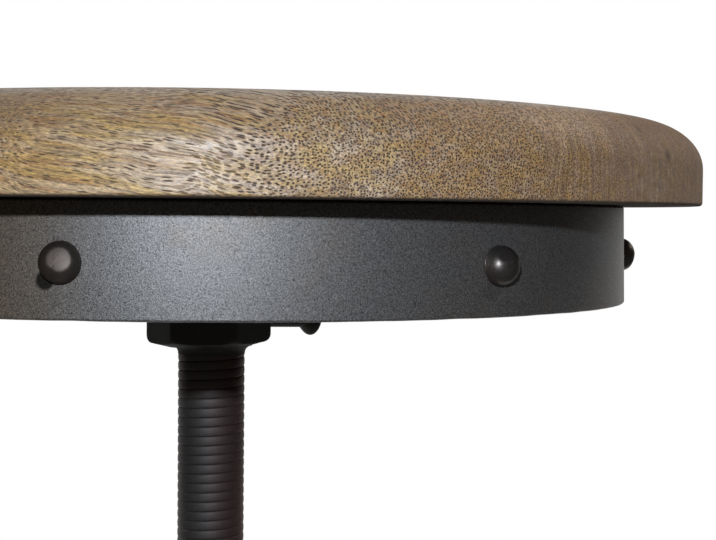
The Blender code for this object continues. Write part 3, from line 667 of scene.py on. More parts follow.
@dataclass(frozen=True)
class CoatedSteel(Finish):
    """Steel under a dark coat with a fine grain and brownish stains."""

    slot: Slot
    color: Color
    stain: Color
    grain: float = 0.6 * MM
    relief: float = 0.03 * MM
    contrast: float = 0.3
    roughness: float = 0.58
    metallic: float = 1.0
    stain_size: float = 28.0 * MM
    stained: float = 0.6
    scuffs_and_shadows: tuple["Scuff", ...] = ()
    worn_azimuth: float = -60.0
    worn_from: float = 98.0 * MM
    worn_full: float = 128.0 * MM
    edge_tint: float = 1.0
    spot_dulling: float = 0.5

    def paint(self, shader: Shader) -> None:
        """Builds the coat's colour, gloss and grain."""
        position = shader.position()
        tint_zone = shader.along(position, outward(self.worn_azimuth)).ramp(self.worn_from, self.worn_full)
        stain = shader.noise(position, 1.0 / self.stain_size, 4.0, 0.6).ramp(0.5, 0.8) * self.stained
        stain = stain.at_least(tint_zone)
        grain = shader.noise(position, 1.0 / self.grain, 2.0, 0.65)
        sparkle = shader.noise(shader.vector("ADD", position, (0.7, 0.2, 0.9)), 1.6 / self.grain, 1.0, 0.5)
        color = shader.mix(stain, self.color, self.stain)
        level = 1.0 + (grain - 0.5) * (2.2 * self.contrast) + (sparkle - 0.5) * (1.2 * self.contrast)
        dulled: Value = 0.0
        # Each spot darkens and dulls the coat; on the band the spots are painted shadows beside the rivets.
        for spot in self.scuffs_and_shadows:
            mask = spot.mask(shader, position)
            level = level * (1.0 - mask)
            dulled = mask * self.spot_dulling + dulled
        color = shader.mix(1.0, color, shader.place(level, level, level), "MULTIPLY")
        shader.principled(
            {
                "Base Color": color,
                "Metallic": self.metallic,
                "Specular Tint": (self.edge_tint, self.edge_tint, self.edge_tint),
                "Roughness": self.roughness + (grain - 0.5) * 0.16 + stain * 0.06 + dulled,
                "Normal": shader.bump(grain, 1.0, self.relief),
            }
        )


@dataclass(frozen=True)
class BareZinc(Finish):
    """Zinc plated steel with a soft bloom."""

    slot: Slot = Slot.ZINC
    color: Color = (0.46, 0.45, 0.43)
    bloom: Color = (0.34, 0.34, 0.32)
    roughness: float = 0.42

    def paint(self, shader: Shader) -> None:
        """Builds the plating's colour and gloss."""
        bloom = shader.noise(shader.position(), 350.0, 3.0, 0.6).ramp(0.4, 0.7)
        shader.principled(
            {
                "Base Color": shader.mix(bloom, self.color, self.bloom),
                "Metallic": 1.0,
                "Roughness": self.roughness + bloom * 0.15,
            }
        )


@dataclass(frozen=True)
class BlackRubber(Finish):
    """Matt black rubber with a fine skin and some dust."""

    slot: Slot = Slot.RUBBER
    color: Color = (0.024, 0.023, 0.022)
    dust: Color = (0.06, 0.056, 0.05)
    roughness: float = 0.78

    def paint(self, shader: Shader) -> None:
        """Builds the rubber's colour and skin."""
        position = shader.position()
        dust = shader.noise(position, 120.0, 4.0, 0.6).ramp(0.45, 0.75)
        skin = shader.noise(position, 1800.0, 2.0)
        shader.principled(
            {
                "Base Color": shader.mix(dust, self.color, self.dust),
                "Roughness": self.roughness + (skin - 0.5) * 0.1,
                "Normal": shader.bump(skin, 0.4, 0.05 * MM),
            }
        )


@dataclass
class Palette:
    """The stool's finishes, each made into a material once."""

    finishes: Sequence[Finish]
    materials: dict[Slot, bpy.types.Material] = field(default_factory=dict)

    def material(self, slot: Slot) -> bpy.types.Material:
        """The material of a slot, made when it is first asked for."""
        if slot not in self.materials:
            finish = next(finish for finish in self.finishes if finish.slot is slot)
            self.materials[slot] = finish.material()
        return self.materials[slot]


# Pieces and sub-assemblies


@dataclass
class Piece:
    """One finished surface and what it stands for in the frame."""

    name: str
    surface: Surface
    slot: Slot
    body: Body
    node: str
    crease: float = 35.0

    def build(self, palette: Palette) -> bpy.types.Object:
        """Makes the mesh, dresses it and sets it on its body.

        Args:
            palette: The stool's finishes.

        Returns:
            The finished object.
        """
        mesh = self.surface.mesh(self.name, self.crease)
        mesh.materials.append(palette.material(self.slot))
        piece = bpy.data.objects.new(self.name, mesh)
        bpy.context.scene.collection.objects.link(piece)
        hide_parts(self.node)
        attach(piece, self.body.value)
        LOG.info("%s: %d faces on %s", self.name, len(mesh.polygons), self.body.value)
        return piece


class SubAssembly(ABC):
    """A group of pieces that are made together."""

    @abstractmethod
    def pieces(self) -> Iterator[Piece]:
        """The group's pieces, one after the other."""

    def build(self, palette: Palette) -> None:
        """Makes and dresses all the pieces."""
        for piece in self.pieces():
            piece.build(palette)


@dataclass(frozen=True)
class Blow:
    """A hammer blow that flattens a head's crown along a tilted plane.

    The plane lies at a share of the head's height, tilted to the right and up by angles in degrees. The
    press is the share of what stands beyond the plane that is pressed back.
    """

    level: float
    right: float
    up: float
    press: float = 0.72

    def normal(self) -> Array:
        """The plane's direction in the head's own frame."""
        right, up = math.radians(self.right), math.radians(self.up)
        return np.array((math.sin(right) * math.cos(up), math.sin(up), math.cos(right) * math.cos(up)))


@dataclass(frozen=True)
class Fastener:
    """A rivet, bolt or screw along local Z, with its head's seat at z = 0.

    The lip and the recess are shares of the head's radius, and the recess's depth of the head's height.
    """

    head_radius: float
    head_height: float
    shank_radius: float
    grip: float
    tail_radius: float = 0.0
    tail_height: float = 0.0
    fullness: float = 2.0
    drive: Drive = Drive.NONE
    dent: float = 0.0
    steps: int = 48
    lip: float = 0.06
    recess_depth: float = 0.55
    recess_length: float = 0.55
    recess_width: float = 0.13
    recess_softness: float = 0.05

    def surface(self, seed: int, blow: Optional[Blow] = None) -> Surface:
        """The fastener as a surface of revolution, with its recess, its dents and its flattened crown.

        The profile runs down the domed head, in under it, down the shank and over the domed tail. A
        cross recess lowers the head by a depth times the larger of two soft bars at right angles. The
        dents widen and narrow the head by a few sines round the axis. What stands beyond a blow's plane
        is pressed back almost onto it.

        Args:
            seed: Number that sets where the dents lie.
            blow: The hammer blow that flattened the crown, if any.

        Returns:
            The surface.
        """
        lip = self.lip * self.head_radius
        head = dome(self.head_radius, self.head_height - lip, self.fullness, 22) + (0.0, lip)
        parts = [
            head,
            arc((self.head_radius - lip / 2, lip / 2), (lip / 2, lip / 2), 60, -90, 5),
            run((self.shank_radius, 0.0), (self.shank_radius, -self.grip), 3),
        ]
        if self.tail_radius:
            tail = dome(self.tail_radius, self.tail_height, 2.0, 14)[::-1]
            parts.append(np.column_stack((tail[:, 0], -self.grip - tail[:, 1])))
        else:
            parts.append(run((self.shank_radius, -self.grip), (0.0, -self.grip)))
        points = turned(joined(*parts), self.steps).points
        x, y, z = (points[..., axis] for axis in range(3))
        on_head = np.clip(z / self.head_height, 0.0, 1.0)
        if self.dent:
            waves = [(2, 0.5, 1.9 * seed), (3, 0.35, 4.1 * seed), (5, 0.2, 2.3 * seed)]
            points = points * (1.0 + self.dent * on_head * ripple(np.arctan2(y, x), waves))[..., None]
        if blow is not None:
            normal = blow.normal()
            beyond = np.clip(points @ normal - blow.level * self.head_height, 0.0, None)
            points = points - blow.press * beyond[..., None] * normal
        if self.drive is Drive.CROSS:
            depth = self.cross(x, y) * (z > 0) * self.recess_depth * self.head_height
            points = points - depth[..., None] * np.array((0.0, 0.0, 1.0))
        return Surface(points)

    def cross(self, x: Array, y: Array) -> Array:
        """The recess's depth of 0 to 1 at places on the head: two soft bars at right angles."""
        long, slim = self.recess_length * self.head_radius, self.recess_width * self.head_radius
        soft = self.recess_softness * self.head_radius
        bars = [
            1.0 / (1.0 + np.exp((np.abs(a) - long) / soft)) / (1.0 + np.exp((np.abs(b) - slim) / soft))
            for a, b in ((x, y), (y, x))
        ]
        return np.maximum(*bars)


@dataclass
class WoodenSeat(SubAssembly):
    """The round wooden seat with its full rounded upper edge."""

    top: float = 705.0 * MM
    radius: float = 180.0 * MM
    thickness: float = 30.0 * MM
    round_in: float = 22.2 * MM
    round_down: float = 17.3 * MM
    lower_round: float = 1.2 * MM
    waver: float = 0.5 * MM
    steps: int = 288

    @property
    def underside(self) -> float:
        """Height of the wood's lower face."""
        return self.top - self.thickness

    def profile(self) -> Array:
        """Half the seat's section, from the middle of its top round the edge to the middle below."""
        edge = (self.radius - self.round_in, self.top - self.round_down)
        lower = (self.radius - self.lower_round, self.underside + self.lower_round)
        return joined(
            run((0.0, self.top), (edge[0], self.top), 16),
            arc(edge, (self.round_in, self.round_down), 90, 0, 44),
            run((self.radius, edge[1]), (self.radius, lower[1]), 8),
            arc(lower, (self.lower_round, self.lower_round), 0, -90, 9),
            run((lower[0], self.underside), (0.0, self.underside), 12),
        )

    def disc(self) -> Surface:
        """The seat's section turned about the axis, its upper edge planed a little unevenly.

        The height of a point changes by a few sines round the axis, times how far up the edge and how
        far out from the middle it lies.
        """
        points = turned(self.profile(), self.steps).points
        angle = np.arctan2(points[..., 0], -points[..., 1])
        upper = np.clip((points[..., 2] - self.underside) / self.thickness, 0.0, 1.0) ** 2
        far = np.clip(np.hypot(points[..., 0], points[..., 1]) / self.radius, 0.0, 1.0) ** 2
        lift = self.waver * ripple(angle, [(2, 0.9, 1.75), (3, 0.3, 1.8)]) * upper * far
        return Surface(points + lift[..., None] * np.array((0.0, 0.0, 1.0)))

    def pieces(self) -> Iterator[Piece]:
        """The wooden disc."""
        yield Piece("wooden_seat", self.disc(), Slot.WOOD, Body.SEAT, "seat_top")


@dataclass
class RivetedBand(SubAssembly):
    """The rolled band under the seat, the pan inside it, and the rivets through both."""

    wood_underside: float
    outer: float = 152.75 * MM
    height: float = 34.6 * MM
    wall: float = 3.0 * MM
    edge: float = 0.8 * MM
    pinch: float = 0.25 * MM
    flare: float = 0.6 * MM
    pan_wall: float = 3.0 * MM
    pan_rim: float = 29.0 * MM
    pan_bend: float = 2.0 * MM
    rivet_first: float = -16.3
    rivet_off: tuple[float, ...] = (0.2, -0.75, -1.0, 0.4, -0.3, 0.5, -0.2)
    rivet_lift: tuple[float, ...] = (0.5 * MM, -0.3 * MM, 0.7 * MM, 0.2 * MM, -0.4 * MM, 0.3 * MM, -0.1 * MM)
    blows: tuple[Blow, ...] = (
        Blow(0.85, 13.0, 11.0),
        Blow(0.93, -20.0, 35.0),
        Blow(0.9, 5.0, -20.0),
        Blow(0.84, -8.0, 4.0),
        Blow(0.94, 12.0, 20.0),
        Blow(0.82, 3.0, -9.0),
        Blow(0.9, -14.0, 10.0),
    )
    rivet_drop: float = 18.8 * MM
    tail_relief: float = 0.2526 * MM
    steps: int = 288

    @property
    def inner(self) -> float:
        """Inner radius of the band."""
        return self.outer - self.wall

    @property
    def pan_underside(self) -> float:
        """Height of the pan's lower face."""
        return self.wood_underside - GAP - self.pan_wall

    @property
    def pan_rim_inner(self) -> float:
        """Inner radius of the pan's rim."""
        return self.inner - GAP - self.pan_wall

    def band(self) -> Surface:
        """The band: a rounded rectangle turned about the axis, its lower edge a little wider and uneven.

        A point moves out by the flare times how far down the band it lies, less the pinch, and the last
        of the lower edge moves up by a few sines round the axis.
        """
        top = self.wood_underside - GAP
        half = np.array([self.height / 2])
        across, deep = round_section(np.array([self.wall / 2]), half, self.edge, 8)
        profile = np.column_stack((self.outer - self.wall / 2 + across[0], top - half + deep[0]))
        points = turned(profile, self.steps, ring=True).points
        angle = np.arctan2(points[..., 0], -points[..., 1])
        down = np.clip((top - points[..., 2]) / self.height, 0.0, 1.0)
        waves = [(5, 0.05 * MM, 0.3), (13, 0.05 * MM, 1.1), (37, 0.04 * MM, 2.0), (71, 0.03 * MM, 4.2)]
        points[..., :2] *= (1.0 + (self.flare * down - self.pinch) / self.outer)[..., None]
        lift = np.abs(ripple(angle, waves)) * down**6
        return Surface(points + lift[..., None] * np.array((0.0, 0.0, 1.0)), True)

    def pan(self) -> Surface:
        """The pan: a flat plate whose rim turns down in a bend, turned about the axis."""
        top = self.wood_underside - GAP
        outer, inner = self.inner - GAP, self.pan_rim_inner
        bend = self.pan_bend + self.pan_wall
        low = top - self.pan_rim
        lip = self.pan_wall / 2
        hollow = (inner - self.pan_bend, self.pan_underside - self.pan_bend)
        return turned(
            joined(
                run((0.0, top), (outer - bend, top), 6),
                arc((outer - bend, top - bend), (bend, bend), 90, 0, 12),
                run((outer, top - bend), (outer, low + lip), 6),
                arc((outer - lip, low + lip), (lip, lip), 0, -180, 13),
                run((inner, low + lip), (inner, hollow[1]), 6),
                arc(hollow, (self.pan_bend, self.pan_bend), 0, 90, 9),
                run((hollow[0], self.pan_underside), (0.0, self.pan_underside), 10),
            ),
            self.steps,
        )

    def pieces(self) -> Iterator[Piece]:
        """The band, the pan and the rivets."""
        yield Piece("riveted_band", self.band(), Slot.BAND, Body.SEAT, "seat_band")
        yield Piece("pressed_pan", self.pan(), Slot.BLACK, Body.SEAT, "seat_pan")
        grip = self.outer - self.pan_rim_inner + 2 * GAP + self.tail_relief
        rivet = Fastener(
            head_radius=6.2 * MM,
            head_height=6.2 * MM,
            shank_radius=3.0 * MM,
            grip=grip,
            tail_radius=4.5 * MM,
            tail_height=2.4 * MM,
            fullness=2.1,
            dent=0.02,
        )
        for index, even in enumerate(around(len(self.rivet_off), self.rivet_first)):
            azimuth = even + self.rivet_off[index]
            place = outward(azimuth) * (self.outer + GAP)
            place.z = self.wood_underside - self.rivet_drop + self.rivet_lift[index]
            number = index + 1
            surface = rivet.surface(number, self.blows[index]).placed(facing(place, outward(azimuth)))
            yield Piece(f"domed_band_rivet_{number}", surface, Slot.RIVET, Body.SEAT, f"band_rivet_{number}")


@dataclass
class SeatMount(SubAssembly):
    """The flange under the pan, the screws up into the wood, the collar, its weld and its set bolt."""

    pan_underside: float
    pan_rim_inner: float
    wood_underside: float
    flange_radius: float = 55.0 * MM
    flange_thickness: float = 6.0 * MM
    flange_edge: float = 1.0 * MM
    flange_screw_inset: float = 13.0 * MM
    pan_screw_inset: float = 28.0 * MM
    screw_depth: float = 16.0 * MM
    collar_flats: float = 41.0 * MM
    collar_drop: float = 53.6 * MM
    collar_corner: Point = (2.4 * MM, 2.9 * MM)
    collar_cone: float = 1.7 * MM
    collar_edge: float = 0.8 * MM
    collar_offset: float = 1.1 * MM
    collar_skew: float = 0.9 * MM
    collar_turn: float = -5.2
    bore: float = 12.8 * MM
    weld_radius: float = 15.3 * MM
    weld_bore: float = 12.55 * MM
    weld_height: float = 2.7 * MM
    bolt_face: int = 2
    bolt_drop: float = 42.8 * MM
    bolt_shank: float = 4.3 * MM
    bolt_neck: float = 5.0 * MM
    bolt_head: float = 8.2 * MM
    bolt_middle: float = 41.9 * MM
    bolt_swell: float = 4.6 * MM
    bolt_tip: float = 3.2 * MM

    @property
    def flange_underside(self) -> float:
        """Height of the flange's lower face."""
        return self.pan_underside - GAP - self.flange_thickness

    @property
    def collar_top(self) -> float:
        """Height of the collar's upper face."""
        return self.flange_underside - GAP

    @property
    def collar_bottom(self) -> float:
        """Height of the collar's lower face."""
        return self.wood_underside - self.collar_drop

    def flange(self) -> Surface:
        """The flange: a disc with rounded edges, turned about the axis."""
        top = self.pan_underside - GAP
        edge = self.flange_edge
        rim = self.flange_radius - edge
        return turned(
            joined(
                run((0.0, top), (rim, top), 4),
                arc((rim, top - edge), (edge, edge), 90, 0, 6),
                arc((rim, self.flange_underside + edge), (edge, edge), 0, -90, 6),
                run((rim, self.flange_underside), (0.0, self.flange_underside), 6),
            ),
            144,
        )

    def collar(self) -> Surface:
        """The collar: a hexagon whose lower end is a blunt cone with rounded corners, bored for the spindle.

        The rows go down the outside, round the corner in a part of an ellipse, in along the cone to the
        weld, and back up the bore. The outside stands a little off the bore's axis, to the left, where its
        lower end also hangs lower by the skew times the distance from the axis.
        """
        over = self.collar_flats / 2 / math.cos(math.pi / 6) - GAP
        wide, high = self.collar_corner
        edge = self.collar_edge
        soft = arc((0.0, 0.0), (edge, edge), 90, 0, 6)
        shoulder = np.column_stack(
            (np.full(6, over), self.collar_top - edge + soft[:, 1], edge - soft[:, 0])
        )
        low = self.collar_bottom + self.collar_cone
        side = run((over, self.collar_top - MM), (over, low + high), 12)
        end = joined(
            side,
            arc((over - wide, low + high), (wide, high), 0, -78, 12),
            run((over - wide, low), (self.weld_radius, self.collar_bottom), 16),
        )
        outside = np.concatenate((shoulder, np.column_stack((end, np.zeros(len(end))))))
        ends = [(self.bore, self.collar_bottom, 0.0), (self.bore, self.collar_top, 0.0)]
        rows = np.concatenate((outside, ends))
        surface = flat_sided(rows, 6, self.collar_flats, self.collar_turn, 240, True)
        shell = surface.points[: len(outside)]
        shell[..., 0] -= self.collar_offset
        left = np.clip(-shell[..., 0] / over, 0.0, 1.0) ** 2
        shell[..., 2] -= self.collar_skew * left * (shell[..., 2] < low + high + MM)
        return surface

    def weld(self) -> Surface:
        """The weld bead: a hollow fillet turned about the axis, its face slightly rippled."""
        top = self.collar_bottom + 0.1 * MM
        low = self.collar_bottom - GAP - self.weld_height
        width = self.weld_radius - self.weld_bore
        hollow = arc((self.weld_radius, low), (width, top - low), 90, 180, 16)
        section = joined(hollow, run((self.weld_bore, low), (self.weld_bore, top), 3))
        points = turned(section, 192, ring=True).points
        face = np.clip((np.hypot(points[..., 0], points[..., 1]) - self.weld_bore) / width, 0.0, 1.0)
        angle = np.arctan2(points[..., 0], -points[..., 1])
        swell = ripple(angle, [(23, 0.06 * MM, 0.0), (31, 0.05 * MM, 1.7)]) * face * (1.0 - face) * 4.0
        return Surface(points + swell[..., None] * np.array((0.0, 0.0, -1.0)), True)

    def set_bolt(self) -> Surface:
        """The set bolt: a shank that widens slightly, swells in a smooth step and ends in half an ellipse."""
        swell_end = self.bolt_middle
        start = swell_end - self.bolt_swell
        share = np.linspace(0.0, 1.0, 18)
        step = share * share * (3.0 - 2.0 * share)
        swell = self.bolt_neck + (self.bolt_head - self.bolt_neck) * step
        tip = arc((0.0, swell_end), (self.bolt_head, self.bolt_tip), 90, 0, 24)
        profile = joined(
            tip,
            np.column_stack((swell, start + self.bolt_swell * share))[::-1],
            run((self.bolt_neck, start), (self.bolt_shank, self.bore), 4),
            run((self.bolt_shank, self.bore), (0.0, self.bore)),
        )
        place = Vector((0.0, 0.0, self.wood_underside - self.bolt_drop))
        direction = outward(self.collar_turn + 60.0 * self.bolt_face)
        return turned(profile, 64).placed(facing(place, direction))

    def screws(self) -> Iterator[Piece]:
        """The round-headed screws through the flange and through the pan."""
        rings = (
            ("flange_screw", 4, self.flange_radius - self.flange_screw_inset, self.flange_underside),
            ("pan_screw", 6, self.pan_rim_inner - self.pan_screw_inset, self.pan_underside),
        )
        for name, count, circle, underside in rings:
            seat = underside - GAP
            grip = self.wood_underside + self.screw_depth - seat
            screw = Fastener(
                head_radius=5.0 * MM,
                head_height=3.0 * MM,
                shank_radius=2.5 * MM,
                grip=grip,
                fullness=2.3,
                drive=Drive.CROSS,
            )
            for index, azimuth in enumerate(around(count)):
                place = outward(azimuth) * circle
                place.z = seat
                surface = screw.surface(index).placed(facing(place, Vector((0.0, 0.0, -1.0))))
                node = f"{name}_{index + 1}"
                yield Piece(f"round_head_{node}", surface, Slot.ZINC, Body.SEAT, node)

    def pieces(self) -> Iterator[Piece]:
        """The flange, the collar, its weld and bolt, and the screws."""
        yield Piece("round_flange", self.flange(), Slot.BLACK, Body.SEAT, "seat_flange")
        yield Piece("hexagon_collar", self.collar(), Slot.BLACK, Body.SEAT, "seat_collar")
        yield Piece("weld_bead", self.weld(), Slot.BLACK, Body.SEAT, "collar_weld")
        yield Piece("round_set_bolt", self.set_bolt(), Slot.BLACK, Body.SEAT, "collar_set_bolt")
        yield from self.screws()


@dataclass
class ScrewSpindle(SubAssembly):
    """The threaded spindle, with the loose washer and the bolt at its lower end."""

    top: float
    bottom: float
    radius: float = 12.5 * MM
    lead: float = 3.5 * MM
    thread_depth: float = 0.52 * MM
    thread_fullness: float = 0.27
    chamfer: float = 1.5 * MM
    washer_radius: float = 18.0 * MM
    washer_bore: float = 5.3 * MM
    washer_thickness: float = 4.0 * MM
    end_bolt_flats: float = 17.0 * MM
    end_bolt_height: float = 6.4 * MM
    end_bolt_shank: float = 5.0 * MM
    end_bolt_depth: float = 20.0 * MM
    steps: int = 72

    def rod(self) -> Surface:
        """The rod with its right-hand thread.

        The grid's rows follow the helix: each lies at its share of a turn, plus the azimuth's share of
        the lead, so the last column joins the first one turn further up. The radius is the crest's less
        the depth times one minus a root of the sine over the turn, which makes broad crests and narrow
        grooves. Heights stop at the rod's ends, where the radius is bevelled and then shrinks to the
        axis.
        """
        half = np.array((0.0, 0.045, 0.1, 0.18, 0.3, 0.42))
        share = np.concatenate((half, 1.0 - half[:0:-1]))
        turns = math.ceil((self.top - self.bottom) / self.lead) + 4
        place = (np.arange(turns)[:, None] + share).reshape(-1, 1) - 2.0
        angle = np.linspace(0.0, 2.0 * np.pi, self.steps, endpoint=False)
        level = self.bottom + self.lead * (place + angle / (2.0 * np.pi))
        height = np.clip(level, self.bottom, self.top)
        shrink = np.clip(1.0 - np.abs(level - height) / (0.9 * self.lead), 0.0, 1.0)
        groove = 1.0 - np.sin(np.pi * np.mod(place, 1.0)) ** self.thread_fullness
        bevel = np.clip(self.chamfer - np.minimum(height - self.bottom, self.top - height), 0.0, None)
        radius = (self.radius - self.thread_depth * groove - bevel) * shrink
        points = np.stack((radius * np.sin(angle), -radius * np.cos(angle), height), axis=-1)
        return Surface(points, shift=len(share))

    def washer(self) -> Surface:
        """The stop washer: a rounded rectangle turned about the axis."""
        top = self.bottom - GAP
        half = (self.washer_radius - self.washer_bore) / 2
        across, deep = round_section(np.array([half]), np.array([self.washer_thickness / 2]), 0.5 * MM, 5)
        middle = (self.washer_bore + half, top - self.washer_thickness / 2)
        return turned(np.column_stack((middle[0] + across[0], middle[1] + deep[0])), 96, ring=True)

    def end_bolt(self) -> Surface:
        """The end bolt: a shank over a hexagon head whose lower corners are cut by a cone."""
        head_top = self.bottom - 2 * GAP - self.washer_thickness
        low = head_top - self.end_bolt_height
        corner = self.end_bolt_flats / 2 / math.cos(math.pi / 6)
        face = 0.92 * self.end_bolt_flats / 2
        arris, bevel = 0.3 * MM, 1.2 * MM
        flats = run((corner, head_top - arris), (corner, low + bevel), 5)
        cone = run((corner, low + bevel), (face, low), 12)
        rows = np.concatenate(
            (
                [(0.0, self.bottom + self.end_bolt_depth, 0.0)],
                [(self.end_bolt_shank, self.bottom + self.end_bolt_depth, 0.0)],
                [(self.end_bolt_shank, head_top, 0.0), (corner, head_top, arris)],
                np.column_stack((flats, np.zeros(5))),
                np.column_stack((cone[1:], np.zeros(11))),
                [(0.0, low, 0.0)],
            )
        )
        return flat_sided(rows, 6, self.end_bolt_flats, 0.0, 144, False)

    def pieces(self) -> Iterator[Piece]:
        """The rod, the washer and the end bolt."""
        yield Piece("threaded_spindle", self.rod(), Slot.THREAD, Body.SEAT, "spindle", 60.0)
        yield Piece("loose_stop_washer", self.washer(), Slot.BLACK, Body.LIFT_STOP, "stop_washer")
        yield Piece("hexagon_end_bolt", self.end_bolt(), Slot.BLACK, Body.SEAT, "spindle_end_bolt")


@dataclass
class HubBlock(SubAssembly):
    """The square hub and the hexagon nut on it that the spindle turns in."""

    top: float
    half_width: float = 25.0 * MM
    height: float = 80.0 * MM
    edge: float = 3.0 * MM
    bore: float = 12.8 * MM
    first_leg: float = 45.0
    nut_flats: float = 41.0 * MM
    nut_height: float = 22.0 * MM
    nut_face: float = 18.0 * MM
    nut_chamfer: float = 2.0 * MM

    @property
    def bottom(self) -> float:
        """Height of the hub's lower face."""
        return self.top - self.height

    def block(self) -> Surface:
        """The hub: a square prism whose ends are rounded off, bored for the spindle."""
        wide = 2.0 * self.half_width
        bend = arc((0.0, 0.0), (self.edge, self.edge), 90, 0, 8)
        inset = self.edge - bend[:, 0]
        upper = np.column_stack((np.full(8, wide), self.top - self.edge + bend[:, 1], inset))
        lower = np.column_stack((np.full(8, wide), self.bottom + self.edge - bend[:, 1], inset))[::-1]
        rows = np.concatenate(([(self.bore, self.top, 0.0)], upper, lower, [(self.bore, self.bottom, 0.0)]))
        return flat_sided(rows, 4, wide, self.first_leg, 192, True)

    def nut(self) -> Surface:
        """The hub nut: a hexagon whose upper corners are cut by a cone, bored for the spindle."""
        low = self.top + GAP
        high = low + self.nut_height
        corner = self.nut_flats / 2 / math.cos(math.pi / 6)
        over = corner + GAP
        lead_in = 1.2 * MM
        rise = self.nut_chamfer * (over - self.nut_face) / (corner - self.nut_face)
        cone = run((self.nut_face, high), (over, high - rise), 26)
        rows = np.concatenate(
            (
                [(self.bore, high, 0.0), (self.bore + lead_in, high, 0.0)],
                np.column_stack((cone, np.zeros(26))),
                np.column_stack((run((over, high - rise - MM), (over, low), 8), np.zeros(8))),
                [(self.bore, low, 0.0)],
            )
        )
        rows[0, 1] -= lead_in
        return flat_sided(rows, 6, self.nut_flats, 0.0, 240, True)

    def pieces(self) -> Iterator[Piece]:
        """The hub and its nut."""
        yield Piece("square_hub", self.block(), Slot.LEG, Body.BASE, "hub")
        yield Piece("chamfered_hub_nut", self.nut(), Slot.BLACK, Body.BASE, "hub_nut")


